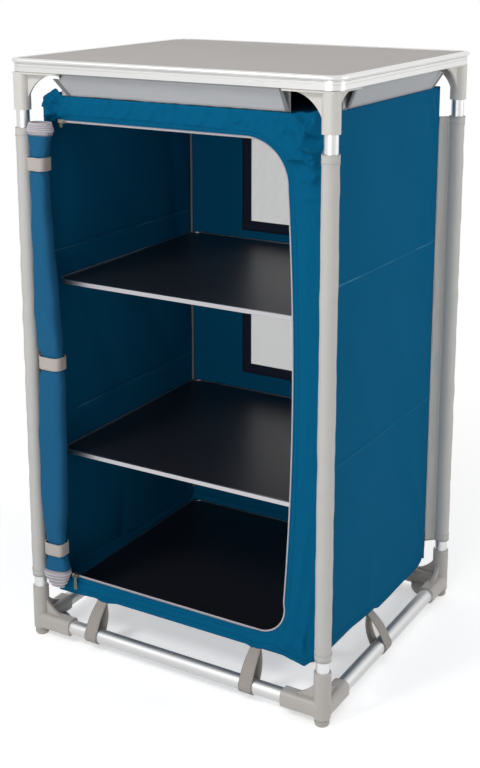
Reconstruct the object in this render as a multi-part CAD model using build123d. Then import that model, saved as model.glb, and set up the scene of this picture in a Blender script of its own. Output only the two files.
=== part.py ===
from build123d import *
import os
from math import sqrt

os.makedirs("parts", exist_ok=True)

# Camping kitchen cupboard. Millimetres, X to the right, Y to the back, Z up.
# The origin is the middle of the footprint, on the ground.

# Overall size
WIDTH = 600.0
DEPTH = 520.0
HEIGHT = 1020.0
CORNERS = {"fl": (-1, -1), "fr": (1, -1), "bl": (-1, 1), "br": (1, 1)}

# Tabletop: a laminated board held in an extruded aluminium rim
RIM_HEIGHT = 22.0
RIM_CORNER_R = 26.0
RIM_LIP = 1.5
RIM_INNER = 6.6
RIM_LEDGE = 14.0
BOARD_GAP = 0.1
RIM_COVER = 9.5
RIM_EDGE = 0.5
# Outside of the rim's section, from its outer face and its top: a bead, a step and a fine groove
RIM_BEAD = ((-3.0, 0.0), (0.0, -3.5), (-3.0, -7.0))
RIM_FACE = (
    (-3.0, -7.0), (-5.2, -7.4), (-5.2, -8.2), (-3.6, -8.7), (-3.6, -12.0), (-4.4, -12.4),
    (-4.4, -13.0), (-3.6, -13.4), (-3.6, -20.8), (-4.8, -RIM_HEIGHT),
)
RIM_BOTTOM = HEIGHT - RIM_HEIGHT
BOARD_BOTTOM = RIM_BOTTOM + RIM_LIP
BOARD_TOP = HEIGHT - RIM_LIP

# Legs: two tube halves joined over a ferrule
LEG_X = 279.5
LEG_Y = 244.5
LEG_R = 11.0
TUBE_WALL = 1.2
LEG_TOP = 990.0
LEG_BOTTOM = 46.5
LEG_JOINT_Z = 512.0
FERRULE_LENGTH = 120.0
FERRULE_R = 9.75
FERRULE_WALL = 1.5

# Base frame tubes
BASE_R = 12.5
BASE_Z = 28.5
BASE_END = 35.0

# Moulded corner brackets
SOCKET_R = 14.0
TOP_SOCKET_BOTTOM = 937.0
TOP_PLATE = 2.6
TOP_REACH = 78.0
TOP_ARM_WIDTH = 26.0
TOP_ARM_END_R = 9.0
TOP_HEEL = 16.0
TOP_PAD_START = 18.0
TOP_PAD_END = 5.0
TOP_PAD_EDGE = 3.0
TOP_WEB_REACH = 62.0
TOP_WEB_DROP = 38.0
TOP_WEB_THICK = 4.0
TOP_BORE_R = LEG_R + 0.08
WEB_SWELL = 0.64
LOW_SOCKET_TOP = 92.5
LOW_SOCKET_BOTTOM = 14.0
LOW_REACH = 69.0
LOW_ARM = 29.0
LOW_ARM_ROUND = 9.0
LOW_ARM_EDGE_R = 1.2
LOW_SOCKET_EDGE_R = 1.0
LOW_SHELF_EDGE_R = 1.5
LOW_WEB_TOP = 67.0
LOW_WEB_REACH = 62.0
LOW_WEB_THICK = 5.0
LOW_GUSSET_R = 53.0
LOW_GUSSET_TOP = 20.0
LOW_BORE_R = LEG_R + 0.05
TUBE_FIT = 0.05

# Screws that hold the top brackets to the board
SCREW_POINTS = ((70.0, 6.5), (4.0, 70.0))
SCREW_HEAD_R = 4.0
SCREW_HEAD = 2.4
SCREW_R = 1.75
SCREW_DEPTH = 11.0
SCREW_FIT = 0.05
SCREW_HEAD_EDGE_R = 1.4
SCREW_SLOT = (4.6, 1.0, 2.2)

# Screw-in levelling feet
FOOT_R = 12.0
FOOT_GAP = 0.4
STUD_R = 4.0
STUD_TOP = 27.0
STUD_FIT = 0.07
FOOT_FLAT_R = 8.0
FOOT_GROOVE = 1.0
# Heights where the foot's rim turns in to a groove and out again
FOOT_GROOVES = ((6.4, 7.2, 8.0, 8.8), (9.8, 10.6, 11.4, 12.2))

# Fabric cabinet
FABRIC = 1.5
HALF_W = 255.5
HALF_D = 221.5
ROOF_TOP = 960.0
FLOOR_Z = 77.0
# Hem of the front wall: height at the left, then dips at the two loops and at the right corner
HEM_LEFT = (-200.0, 84.0)
HEM_DIP_1 = ((-163.0, 79.5), (-130.0, 84.0))
HEM_DIP_2 = ((110.0, 86.0), (146.0, 82.0), (175.0, 88.5))
HEM_TIP = ((205.0, 84.0), (236.0, 76.5))
HEM_CORNER = 96.0
# Hem of the side walls, from the front to the rounded back corner
SIDE_HEM = ((20.0, 78.0), (-60.0, 84.0))
SIDE_HEM_FRONT = 97.0
SIDE_HEM_BACK = ((0.0, 102.0), (8.0, 85.0), (26.0, 78.0))

# Door opening, as its zipper runs: straight above, below and on the hinge side
OPEN_LEFT = -226.0
OPEN_HINGE = -249.0
OPEN_HINGE_SPAN = (124.0, 912.0)
OPEN_TOP = 924.5
OPEN_BOTTOM = 110.0
OPEN_TOP_END = 125.0
OPEN_TOP_MID = (182.5, 902.0)
OPEN_SHOULDER = (204.5, 848.0)
OPEN_WAIST = (215.5, 520.0)
OPEN_HIP = (203.0, 176.0)
OPEN_LOW_MID = (190.5, 127.5)
OPEN_BOTTOM_END = 157.0
TAPE = 7.5
TAPE_THICK = 0.7
COIL = 2.6
COIL_THICK = 2.2

# Zipper sliders and their pull tabs
SLIDER_X = -218.4
SLIDER_LENGTH = 14.0
SLIDER_PLATE = 1.2
SLIDER_CLEAR = 0.4
SLIDER_WALL = 1.5
SLIDER_LAP = 2.2
SLIDER_ROUND = 1.4
HINGE_BAR_R = 0.8
HINGE_BAR_Y = -228.3
HINGE_GAP = 0.07
KNUCKLE_R = 1.7
TAB_X = -215.0
TAB_WIDTH = 5.2
EAR = 1.3
EAR_R = 1.4
EAR_GAP = 0.4
TAB_CORNER = 2.0
# length, thickness and end width of each tab
TABS = {"top": (9.0, 1.2, 6.0), "bottom": (24.0, 1.0, 7.4)}

# Leg sleeves, sewn to the cabinet's corners
SLEEVE_R = 14.0
SLEEVE_WALL = 0.8
SLEEVE_BOTTOM = 113.0
SLEEVE_TOP = 908.0
SLEEVE_STRIP = 1.6
SLEEVE_SEAM_GAP = 0.6
SLEEVE_SEAM_ANGLE = 44.0

# Shelves: thin boards in an aluminium edging
SHELF_W = 500.0
SHELF_FRONT = -213.5
SHELF_BACK = 218.0
SHELF_THICK = 7.0
SHELF_CORNER_R = 22.0
SHELF_MID = (SHELF_FRONT + SHELF_BACK) / 2
SHELF_TOPS = {"upper": 650.0, "lower": 346.0}
FLOOR_BOARD_TOP = 86.0
EDGING_WALL = 1.0
EDGING_LIP = 4.0
EDGING_LIP_THICK = 0.8
WEBBING = 30.0
WEBBING_THICK = 1.5
WEBBING_Y = (-120.0, 120.0)
WEBBING_TURN_UP = 7.0

# Mesh windows in the back
MESH_HALF_W = 118.0
MESH_SPANS = {"upper": (684.0, 890.0), "lower": (398.0, 600.0)}
MESH_THICK = 0.8
BORDER = 20.0
BORDER_THICK = 1.2

# Grey flaps that hang the cabinet under the tabletop
FLAP_THICK = 1.2
FLAP_GAP = 0.6
FLAP_FOLD = 5.0
FLAP_SHY = 1.5
FRONT_FLAP = (-216.0, 202.0)
SIDE_FLAP = (-162.0, 184.0)

# Webbing loops round the base tubes
LOOP_WIDTH = 24.0
LOOP_THICK = 1.4
LOOP_CLEAR = 0.6
LOOP_TOP = 88.0
FRONT_LOOPS = (-163.0, 146.0)
SIDE_LOOP = -21.0

# Rolled-up door: height, left edge, right edge and depth of each section.
# The three straps draw it in.
ROLL_Y = -248.0
ROLL_ROUNDNESS = 0.42
ROLL_BULGES = (
    (918.0, -265.2, -224.5, 33.0),
    (895.0, -265.2, -223.0, 34.0),
    (868.0, -264.6, -227.0, 31.5),
    (831.0, -264.8, -230.0, 30.5),
    (800.0, -265.2, -230.0, 31.5),
    (740.0, -265.2, -226.5, 33.0),
    (682.0, -265.2, -222.5, 34.0),
    (594.0, -265.2, -217.0, 35.0),
    (540.0, -260.5, -213.5, 32.5),
    (490.0, -259.0, -212.0, 32.0),
    (450.0, -263.5, -211.0, 34.0),
    (384.0, -265.2, -211.0, 35.0),
    (296.0, -265.2, -211.5, 35.0),
    (235.0, -263.5, -215.0, 33.5),
    (204.0, -259.0, -218.5, 31.0),
    (145.0, -261.0, -219.5, 32.0),
    (104.0, -264.5, -219.5, 34.0),
)
STRAPS = (
    (851.0, -263.3, -230.5, 29.0),
    (515.0, -254.0, -212.0, 28.0),
    (177.0, -255.5, -219.0, 28.0),
)
STRAP_HEIGHT = 22.0
STRAP_THICK = 1.3
STRAP_EASE = 0.3


def save(shape, name):
    export_step(shape, f"parts/{name}.step")


def box(x0, x1, y0, y1, z0, z1):
    size = (x1 - x0, y1 - y0, z1 - z0)
    return Pos((x0 + x1) / 2, (y0 + y1) / 2, (z0 + z1) / 2) * Box(*size)


def rod(radius, z0, z1, x=0.0, y=0.0):
    return Pos(x, y, (z0 + z1) / 2) * Cylinder(radius, z1 - z0)


def tube(radius, wall, z0, z1, x=0.0, y=0.0):
    return rod(radius, z0, z1, x, y) - rod(radius - wall, z0 - 1, z1 + 1, x, y)


def at_corner(shape, corner):
    """Move a shape drawn at the front left leg's axis, arms inwards, to a corner."""
    sx, sy = CORNERS[corner]
    if sx > 0:
        shape = mirror(shape, about=Plane.YZ)
    if sy > 0:
        shape = mirror(shape, about=Plane.XZ)
    return Pos(sx * LEG_X, sy * LEG_Y, 0) * shape


def rounded_plate(width, depth, radius, z0, z1, y_mid=0.0):
    return Pos(0, y_mid, z0) * extrude(RectangleRounded(width, depth, radius), z1 - z0)


# Tabletop
def rim_profile():
    """Section of the extrusion: distance from the outer face, height from the top."""
    ledge = -RIM_HEIGHT + RIM_LIP
    inside = (
        (-RIM_LEDGE, -RIM_HEIGHT), (-RIM_LEDGE, ledge), (-RIM_INNER, ledge), (-RIM_INNER, -RIM_LIP),
        (-RIM_COVER, -RIM_LIP), (-RIM_COVER, -RIM_EDGE), (-RIM_COVER + RIM_EDGE, 0.0), RIM_BEAD[0],
    )
    return make_face(Polyline(*RIM_FACE, *inside) + ThreePointArc(*RIM_BEAD))


def table_rim():
    edge = RectangleRounded(WIDTH, DEPTH, RIM_CORNER_R).wire()
    path = Pos(0, 0, HEIGHT) * edge
    start = Plane(origin=(0, -DEPTH / 2, HEIGHT), x_dir=(0, -1, 0), z_dir=(-1, 0, 0))
    return sweep(start * rim_profile(), path=path)


def screw_places():
    for corner, (sx, sy) in CORNERS.items():
        for px, py in SCREW_POINTS:
            yield sx * (LEG_X - px), sy * (LEG_Y - py)


def table_board():
    inset = 2 * (RIM_INNER + BOARD_GAP)
    radius = RIM_CORNER_R - RIM_INNER - BOARD_GAP
    board = rounded_plate(WIDTH - inset, DEPTH - inset, radius, BOARD_BOTTOM, BOARD_TOP)
    for x, y in screw_places():
        board -= rod(SCREW_R + SCREW_FIT, BOARD_BOTTOM - 1, BOARD_BOTTOM + SCREW_DEPTH + 1, x, y)
    return board


def gusset(bottom, top, reach, free, thick):
    """Upright web in the XZ plane beside the socket, with a hollowed free edge.

    The web's flat edge lies at height top or bottom, and free says which end is drawn in.
    """
    inner = SOCKET_R - 4
    near, far = (bottom, top) if free == "bottom" else (top, bottom)
    mid_x = reach - WEB_SWELL * (reach - SOCKET_R)
    mid_z = near + WEB_SWELL * (far - near)
    outline = Polyline((reach, far), (inner, far), (inner, near), (SOCKET_R, near))
    outline += ThreePointArc((SOCKET_R, near), (mid_x, mid_z), (reach, far))
    return extrude(Plane.XZ * make_face(outline), thick / 2, both=True)


def both_ways(shape):
    """A piece drawn along X, and its twin along Y."""
    return shape + mirror(shape, about=Plane(origin=(0, 0, 0), z_dir=(1, -1, 0)))


def top_bracket():
    plate_bottom = RIM_BOTTOM - TOP_PLATE
    half = TOP_ARM_WIDTH / 2
    arm = RectangleRounded(TOP_REACH + half, TOP_ARM_WIDTH, TOP_ARM_END_R)
    arm = Pos((TOP_REACH - half) / 2, 0) * arm
    inner = half - 1
    far = inner + TOP_HEEL
    heel = Polyline((inner, inner), (far, inner), (inner, far), (inner, inner))
    plate = Pos(0, 0, plate_bottom) * extrude(both_ways(arm) + make_face(heel), TOP_PLATE)
    body = plate + rod(SOCKET_R, TOP_SOCKET_BOTTOM, plate_bottom)
    web_bottom = plate_bottom - TOP_WEB_DROP
    body += both_ways(gusset(web_bottom, plate_bottom, TOP_WEB_REACH, "bottom", TOP_WEB_THICK))
    # Pads that bear on the board inside the rim's ledge
    start, end, edge = TOP_PAD_START, TOP_REACH - TOP_PAD_END, half - TOP_PAD_EDGE
    body += box(start, end, -0.5, edge, RIM_BOTTOM - 1, BOARD_BOTTOM)
    body += box(-5.5, edge, start, end, RIM_BOTTOM - 1, BOARD_BOTTOM)
    body -= rod(TOP_BORE_R, TOP_SOCKET_BOTTOM - 1, LEG_TOP + 0.4)
    for px, py in SCREW_POINTS:
        body -= rod(SCREW_R + SCREW_FIT, plate_bottom - 1, BOARD_BOTTOM + 1, px, py)
    return body


def bracket_screws():
    head_bottom = RIM_BOTTOM - TOP_PLATE - SCREW_HEAD
    screws = []
    for x, y in screw_places():
        head = rod(SCREW_HEAD_R, head_bottom, head_bottom + SCREW_HEAD, x, y)
        head = fillet(head.faces().sort_by(Axis.Z)[0].edges(), SCREW_HEAD_EDGE_R)
        slot = Box(*SCREW_SLOT)
        cross = Pos(x, y, head_bottom) * (slot + Rot(0, 0, 90) * slot)
        shank = rod(SCREW_R, head_bottom + 1, BOARD_BOTTOM + SCREW_DEPTH, x, y)
        screws.append(head + shank - cross)
    return Compound(screws)


# Legs and base frame
def leg_ferrules():
    ends = LEG_JOINT_Z - FERRULE_LENGTH / 2, LEG_JOINT_Z + FERRULE_LENGTH / 2
    pieces = [
        tube(FERRULE_R, FERRULE_WALL, *ends, sx * LEG_X, sy * LEG_Y) for sx, sy in CORNERS.values()
    ]
    return Compound(pieces)


def base_tube(length):
    """Tube along X, centred."""
    ring = Circle(BASE_R) - Circle(BASE_R - TUBE_WALL)
    return extrude(Plane.YZ * ring, length / 2, both=True)


def bottom_bracket():
    arm = extrude(Plane.YZ * RectangleRounded(LOW_ARM, LOW_ARM, LOW_ARM_ROUND), LOW_REACH)
    arm = fillet(arm.faces().sort_by(Axis.X)[-1].edges(), LOW_ARM_EDGE_R)
    arm = Pos(0, 0, BASE_Z) * arm
    socket = rod(SOCKET_R, LOW_SOCKET_BOTTOM, LOW_SOCKET_TOP)
    socket = fillet(socket.faces().sort_by(Axis.Z)[-1].edges(), LOW_SOCKET_EDGE_R)
    body = socket + both_ways(arm)
    web_foot = BASE_Z + LOW_ARM / 2 - 2
    body += both_ways(gusset(web_foot, LOW_WEB_TOP, LOW_WEB_REACH, "top", LOW_WEB_THICK))
    shelf = rod(LOW_GUSSET_R, LOW_SOCKET_BOTTOM, LOW_GUSSET_TOP)
    shelf = fillet(shelf.faces().sort_by(Axis.Z)[-1].edges(), LOW_SHELF_EDGE_R)
    body += shelf & box(0, LOW_REACH, 0, LOW_REACH, 0, LOW_GUSSET_TOP)
    body -= rod(LOW_BORE_R, LEG_BOTTOM - 0.2, LOW_SOCKET_TOP + 1)
    bore = extrude(Plane.YZ * Circle(BASE_R + TUBE_FIT), LOW_REACH - BASE_END + 1.2)
    bore = Pos(BASE_END - 0.2, 0, BASE_Z) * bore
    body -= both_ways(bore)
    body -= rod(STUD_R + STUD_FIT, LOW_SOCKET_BOTTOM - 1, STUD_TOP + 1)
    return body


def foot():
    top = LOW_SOCKET_BOTTOM - FOOT_GAP
    rim_start = (FOOT_R, 4.4)
    outline = Line((0, 0), (FOOT_FLAT_R, 0))
    outline += ThreePointArc((FOOT_FLAT_R, 0), (FOOT_R - 1.1, 1.3), rim_start)
    side = []
    neck = FOOT_R - FOOT_GROOVE
    for turn_in, low, high, turn_out in FOOT_GROOVES:
        side += [(FOOT_R, turn_in), (neck, low), (neck, high), (FOOT_R, turn_out)]
    stud = ((STUD_R, top), (STUD_R, STUD_TOP), (0, STUD_TOP), (0, 0))
    outline += Polyline(rim_start, *side, (FOOT_R - 0.6, top), *stud)
    return revolve(Plane.XZ * make_face(outline), Axis.Z)


# Fabric cabinet
def opening_face():
    """Door opening in the XZ plane: rounded on the right, let out on the hinge side."""
    top_end = (OPEN_TOP_END, OPEN_TOP)
    bottom_end = (OPEN_BOTTOM_END, OPEN_BOTTOM)
    low, high = OPEN_HINGE_SPAN
    outline = Polyline(
        bottom_end, (OPEN_LEFT, OPEN_BOTTOM), (OPEN_HINGE, low),
        (OPEN_HINGE, high), (OPEN_LEFT, OPEN_TOP), top_end,
    )
    outline += ThreePointArc(top_end, OPEN_TOP_MID, OPEN_SHOULDER)
    outline += ThreePointArc(OPEN_SHOULDER, OPEN_WAIST, OPEN_HIP)
    outline += ThreePointArc(OPEN_HIP, OPEN_LOW_MID, bottom_end)
    return make_face(outline)


def upright(face, y0, y1):
    """Extrude a face drawn in X and Z from y0 to y1."""
    return extrude(Plane(origin=(0, y1, 0), x_dir=(1, 0, 0), z_dir=(0, -1, 0)) * face, y1 - y0)


def panel_front():
    hem = Polyline(
        (HALF_W, HEM_CORNER), (HALF_W, ROOF_TOP), (-HALF_W, ROOF_TOP), (-HALF_W, HEM_LEFT[1] - 4),
        HEM_LEFT,
    )
    hem += ThreePointArc(HEM_LEFT, *HEM_DIP_1)
    hem += Line(HEM_DIP_1[-1], HEM_DIP_2[0])
    hem += ThreePointArc(*HEM_DIP_2)
    hem += ThreePointArc(HEM_DIP_2[-1], *HEM_TIP)
    hem += Line(HEM_TIP[-1], (HALF_W, HEM_CORNER))
    wall = upright(make_face(hem), -HALF_D, -HALF_D + FABRIC)
    return wall - upright(opening_face(), -HALF_D - 1, -HALF_D + 3)


def side_panel(sign):
    """Side wall: hem higher in front, drawn down at the loop, rounded at the back."""
    front, back = -HALF_D + FABRIC, HALF_D - FABRIC
    corner = [(back - away, height) for away, height in SIDE_HEM_BACK]
    hem = Polyline((front, SIDE_HEM_FRONT), (front, ROOF_TOP), (back, ROOF_TOP), corner[0])
    hem += ThreePointArc(*corner)
    hem += Polyline(corner[-1], *SIDE_HEM, (front, SIDE_HEM_FRONT))
    plane = Plane(origin=(sign * HALF_W, 0, 0), x_dir=(0, 1, 0), z_dir=(1, 0, 0))
    return extrude(plane * make_face(hem), -sign * FABRIC)


def panel_back():
    wall = box(-HALF_W, HALF_W, HALF_D - FABRIC, HALF_D, FLOOR_Z + 1, ROOF_TOP)
    for low, high in MESH_SPANS.values():
        wall -= box(-MESH_HALF_W, MESH_HALF_W, HALF_D - 5, HALF_D + 5, low, high)
    return wall


def mesh_window(span):
    y0 = HALF_D - (FABRIC + MESH_THICK) / 2
    return box(-MESH_HALF_W, MESH_HALF_W, y0, y0 + MESH_THICK, *MESH_SPANS[span])


def window_borders():
    inner = HALF_D - FABRIC
    rings = []
    for low, high in MESH_SPANS.values():
        wide = MESH_HALF_W + BORDER
        ring = box(-wide, wide, inner - BORDER_THICK, inner, low - BORDER - 4, high + BORDER)
        rings.append(ring - box(-MESH_HALF_W, MESH_HALF_W, inner - 5, inner + 5, low, high))
    return Compound(rings)


def flat_panel(z0):
    inner = HALF_W - FABRIC
    deep = HALF_D - FABRIC
    return box(-inner, inner, -deep, deep, z0, z0 + FABRIC)


def zipper_track():
    """Tape inside the opening's edge, with the coil on its free side."""
    opening = opening_face()
    inside = offset(opening, -TAPE, kind=Kind.INTERSECTION)
    coil_edge = offset(opening, -(TAPE - COIL), kind=Kind.INTERSECTION)
    keep = box(OPEN_LEFT, HALF_W, -HALF_D - 9, -HALF_D + 9, 0, HEIGHT)
    y_mid = -HALF_D + FABRIC / 2
    tape = upright(opening - inside, y_mid - TAPE_THICK / 2, y_mid + TAPE_THICK / 2)
    coil = upright(coil_edge - inside, y_mid - COIL_THICK / 2, y_mid + COIL_THICK / 2)
    hinge_side = box(
        OPEN_LEFT - 1, OPEN_LEFT + TAPE, -HALF_D - 9, -HALF_D + 9, OPEN_BOTTOM + TAPE, OPEN_TOP - TAPE,
    )
    return (tape + coil - hinge_side) & keep


def slider(coil_z, tape_side):
    """Slider round the coil at height coil_z; the tape leaves on tape_side, +1 up or -1 down."""
    x0, x1 = SLIDER_X - SLIDER_LENGTH / 2, SLIDER_X + SLIDER_LENGTH / 2
    y_mid = -HALF_D + FABRIC / 2
    reach = COIL_THICK / 2 + SLIDER_CLEAR
    outer = reach + SLIDER_PLATE
    free = coil_z - tape_side * (COIL / 2 + SLIDER_CLEAR)
    wall = free - tape_side * SLIDER_WALL
    lap = coil_z + tape_side * (COIL / 2 + SLIDER_LAP)
    low, high = sorted((wall, lap))
    body = box(x0, x1, y_mid - outer, y_mid + outer, low, high)
    body = fillet(body.edges().filter_by(Axis.Y), SLIDER_ROUND)
    hollow = sorted((free, lap + tape_side))
    body -= box(x0 - 1, x1 + 1, y_mid - reach, y_mid + reach, *hollow)
    half = TAB_WIDTH / 2 + EAR_GAP
    face = y_mid - outer
    for side in (-1, 1):
        ear_x = TAB_X + side * (half + EAR / 2)
        ear = box(ear_x - EAR / 2, ear_x + EAR / 2, HINGE_BAR_Y, face + 0.3, coil_z - EAR_R, coil_z + EAR_R)
        ear += Pos(ear_x, HINGE_BAR_Y, coil_z) * Rot(0, 90, 0) * Cylinder(EAR_R, EAR)
        body += ear
    bar = Pos(TAB_X, HINGE_BAR_Y, coil_z) * Rot(0, 90, 0) * Cylinder(HINGE_BAR_R, 2 * half + EAR)
    return body + bar


def pull_tab(coil_z, length, thick, end_width):
    """Tab hanging from the slider's bar by a rolled knuckle."""
    place = Pos(TAB_X, HINGE_BAR_Y, coil_z)
    knuckle = place * Rot(0, 90, 0) * Cylinder(KNUCKLE_R, TAB_WIDTH)
    near, far = TAB_WIDTH / 2, end_width / 2
    tip = far - TAB_CORNER
    low = TAB_CORNER - length
    outline = Polyline(
        (-near, 0), (near, 0), (far, low), (tip, -length), (-tip, -length), (-far, low), (-near, 0),
    )
    blade = place * extrude(Plane.XZ * make_face(outline), thick / 2, both=True)
    bore = place * Rot(0, 90, 0) * Cylinder(HINGE_BAR_R + HINGE_GAP, TAB_WIDTH + 2)
    return knuckle + blade - bore


def sleeve():
    """Sleeve round the front left leg, with the seam strip that runs to the cabinet's corner."""
    ring = tube(SLEEVE_R, SLEEVE_WALL, SLEEVE_BOTTOM, SLEEVE_TOP)
    run_x, run_y = LEG_X - HALF_W, LEG_Y - HALF_D
    length = sqrt(run_x**2 + run_y**2) - SLEEVE_SEAM_GAP
    start = SLEEVE_R - SLEEVE_WALL + 0.1
    strip = box(start, length, -SLEEVE_STRIP / 2, SLEEVE_STRIP / 2, SLEEVE_BOTTOM, SLEEVE_TOP)
    return ring + Rot(0, 0, SLEEVE_SEAM_ANGLE) * strip


def v_flap(length):
    """V-folded flap along X: one leaf upright, one leaning out under the rim. Fold at y = 0."""
    top = BOARD_BOTTOM - FLAP_GAP
    lean = LEG_Y - FLAP_SHY - HALF_D
    base = ROOF_TOP
    leaf = Polyline(
        (0, base), (FLAP_THICK * 1.6, base), (FLAP_THICK, base + FLAP_FOLD), (FLAP_THICK, top), (0, top),
        (0, base + FLAP_FOLD + 0.5), (-lean + FLAP_THICK, top), (-lean, top), (0, base),
    )
    return extrude(Plane.YZ * make_face(leaf), length)


def bracket_room():
    """Room round the top brackets' plates and screw heads, kept free of cloth."""
    ease = 0.6
    low = RIM_BOTTOM - TOP_PLATE - SCREW_HEAD - ease
    half = TOP_ARM_WIDTH / 2 + ease
    reach = TOP_REACH + ease
    arm = box(-half, reach, -half, half, low, HEIGHT)
    corner = both_ways(arm)
    return [at_corner(corner, name) for name in CORNERS]


def top_flap(side):
    fold_x, fold_y = HALF_W - FABRIC, HALF_D - FABRIC
    left, right = FRONT_FLAP
    near, far = SIDE_FLAP
    places = {
        "front": Pos(left, -fold_y, 0),
        "back": Pos(right, fold_y, 0) * Rot(0, 0, 180),
        "right": Pos(fold_x, near, 0) * Rot(0, 0, 90),
        "left": Pos(-fold_x, far, 0) * Rot(0, 0, -90),
    }
    length = right - left if side in ("front", "back") else far - near
    flap = places[side] * v_flap(length)
    for room in bracket_room():
        flap -= room
    return flap


def base_loop(run):
    """Webbing in the YZ plane, from the hem at y = 0 round the base tube at y = -run."""
    grip = Pos(-run, BASE_Z)
    seam = Pos(0, LOOP_TOP)
    inner_r = BASE_R + LOOP_CLEAR
    outer_r = inner_r + LOOP_THICK
    outer = make_hull((grip * Circle(outer_r)).edges() + (seam * Circle(LOOP_THICK)).edges())
    inner = make_hull((grip * Circle(inner_r)).edges() + (seam * Circle(0.2)).edges())
    return extrude(Plane.YZ * (outer - inner), LOOP_WIDTH / 2, both=True)


def base_loops():
    fold = HALF_D - FABRIC / 2
    side_fold = HALF_W - FABRIC / 2
    along = base_loop(LEG_Y - fold)
    across = base_loop(LEG_X - side_fold)
    loops = [Pos(x, -fold, 0) * along for x in FRONT_LOOPS]
    loops += [Pos(-x, fold, 0) * Rot(0, 0, 180) * along for x in FRONT_LOOPS]
    loops += [Pos(side_fold, SIDE_LOOP, 0) * Rot(0, 0, 90) * across]
    loops += [Pos(-side_fold, SIDE_LOOP, 0) * Rot(0, 0, -90) * across]
    return Compound(loops)


# Shelves
def shelf_board(top):
    depth = SHELF_BACK - SHELF_FRONT
    gap = EDGING_WALL + 0.1
    low = top - SHELF_THICK + EDGING_LIP_THICK
    high = top - EDGING_LIP_THICK
    radius = SHELF_CORNER_R - gap
    return rounded_plate(SHELF_W - 2 * gap, depth - 2 * gap, radius, low, high, SHELF_MID)


def shelf_edging(top):
    """C-section strip round a board's edge."""
    depth = SHELF_BACK - SHELF_FRONT
    low = top - SHELF_THICK
    outer = rounded_plate(SHELF_W, depth, SHELF_CORNER_R, low, top, SHELF_MID)
    wall = EDGING_WALL
    hollow = rounded_plate(
        SHELF_W - 2 * wall, depth - 2 * wall, SHELF_CORNER_R - wall,
        low + EDGING_LIP_THICK, top - EDGING_LIP_THICK, SHELF_MID,
    )
    lip = EDGING_LIP
    window = rounded_plate(
        SHELF_W - 2 * lip, depth - 2 * lip, SHELF_CORNER_R - lip, low - 1, top + 1, SHELF_MID,
    )
    return outer - hollow - window


def shelf_webbing():
    """Bands sewn to the side walls that carry the two upper boards."""
    side = HALF_W - FABRIC
    bands = []
    for top in SHELF_TOPS.values():
        high = top - SHELF_THICK
        for y in WEBBING_Y:
            span = y - WEBBING / 2, y + WEBBING / 2
            band = box(-side, side, *span, high - WEBBING_THICK, high)
            for sign in (-1, 1):
                ends = sorted((sign * side, sign * (side - WEBBING_THICK)))
                band += box(*ends, *span, high - WEBBING_THICK, high + WEBBING_TURN_UP)
            bands.append(band)
    return Compound(bands)


# Rolled-up door
def roll_section(section, grow=0.0):
    z, left, right, depth = section
    width = right - left + 2 * grow
    deep = depth + 2 * grow
    place = Plane(origin=((left + right) / 2, ROLL_Y, z))
    return place * RectangleRounded(width, deep, ROLL_ROUNDNESS * min(width, deep))


def door_roll():
    sections = list(ROLL_BULGES)
    for z, *rest in STRAPS:
        sections += [(z + STRAP_HEIGHT / 2, *rest), (z - STRAP_HEIGHT / 2, *rest)]
    sections.sort(reverse=True)
    return loft([roll_section(section) for section in sections], ruled=True)


def door_straps():
    straps = []
    for z, left, right, depth in STRAPS:
        section = (z - STRAP_HEIGHT / 2, left, right, depth)
        outer = extrude(roll_section(section, STRAP_EASE + STRAP_THICK), STRAP_HEIGHT)
        straps.append(outer - extrude(roll_section(section, STRAP_EASE), STRAP_HEIGHT))
    return Compound(straps)


# Write one file for each piece
save(table_board(), "table_board")
save(table_rim(), "table_rim")
save(bracket_screws(), "bracket_screws")
top_piece = top_bracket()
bottom_piece = bottom_bracket()
foot_piece = foot()
sleeve_piece = sleeve()
for corner, (side_x, side_y) in CORNERS.items():
    axis = side_x * LEG_X, side_y * LEG_Y
    save(at_corner(top_piece, corner), f"top_bracket_{corner}")
    save(at_corner(bottom_piece, corner), f"bottom_bracket_{corner}")
    save(at_corner(foot_piece, corner), f"foot_{corner}")
    save(at_corner(sleeve_piece, corner), f"sleeve_{corner}")
    save(tube(LEG_R, TUBE_WALL, LEG_JOINT_Z, LEG_TOP, *axis), f"leg_upper_{corner}")
    save(tube(LEG_R, TUBE_WALL, LEG_BOTTOM, LEG_JOINT_Z, *axis), f"leg_lower_{corner}")
save(leg_ferrules(), "leg_ferrules")

long_tube = base_tube(2 * (LEG_X - BASE_END))
short_tube = Rot(0, 0, 90) * base_tube(2 * (LEG_Y - BASE_END))
save(Pos(0, -LEG_Y, BASE_Z) * long_tube, "base_tube_front")
save(Pos(0, LEG_Y, BASE_Z) * long_tube, "base_tube_back")
save(Pos(-LEG_X, 0, BASE_Z) * short_tube, "base_tube_left")
save(Pos(LEG_X, 0, BASE_Z) * short_tube, "base_tube_right")

save(panel_front(), "panel_front")
save(panel_back(), "panel_back")
save(side_panel(-1), "panel_left")
save(side_panel(1), "panel_right")
save(flat_panel(ROOF_TOP - FABRIC), "panel_roof")
save(flat_panel(FLOOR_Z), "panel_floor")
save(window_borders(), "window_borders")
for span in MESH_SPANS:
    save(mesh_window(span), f"mesh_window_{span}")
for side in ("front", "back", "left", "right"):
    save(top_flap(side), f"top_flap_{side}")
save(base_loops(), "base_loops")

boards = {f"shelf_{name}": top for name, top in SHELF_TOPS.items()}
boards["shelf_floor"] = FLOOR_BOARD_TOP
for name, top in boards.items():
    save(shelf_board(top), f"{name}_board")
    save(shelf_edging(top), f"{name}_edging")
save(shelf_webbing(), "shelf_webbing")

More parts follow.
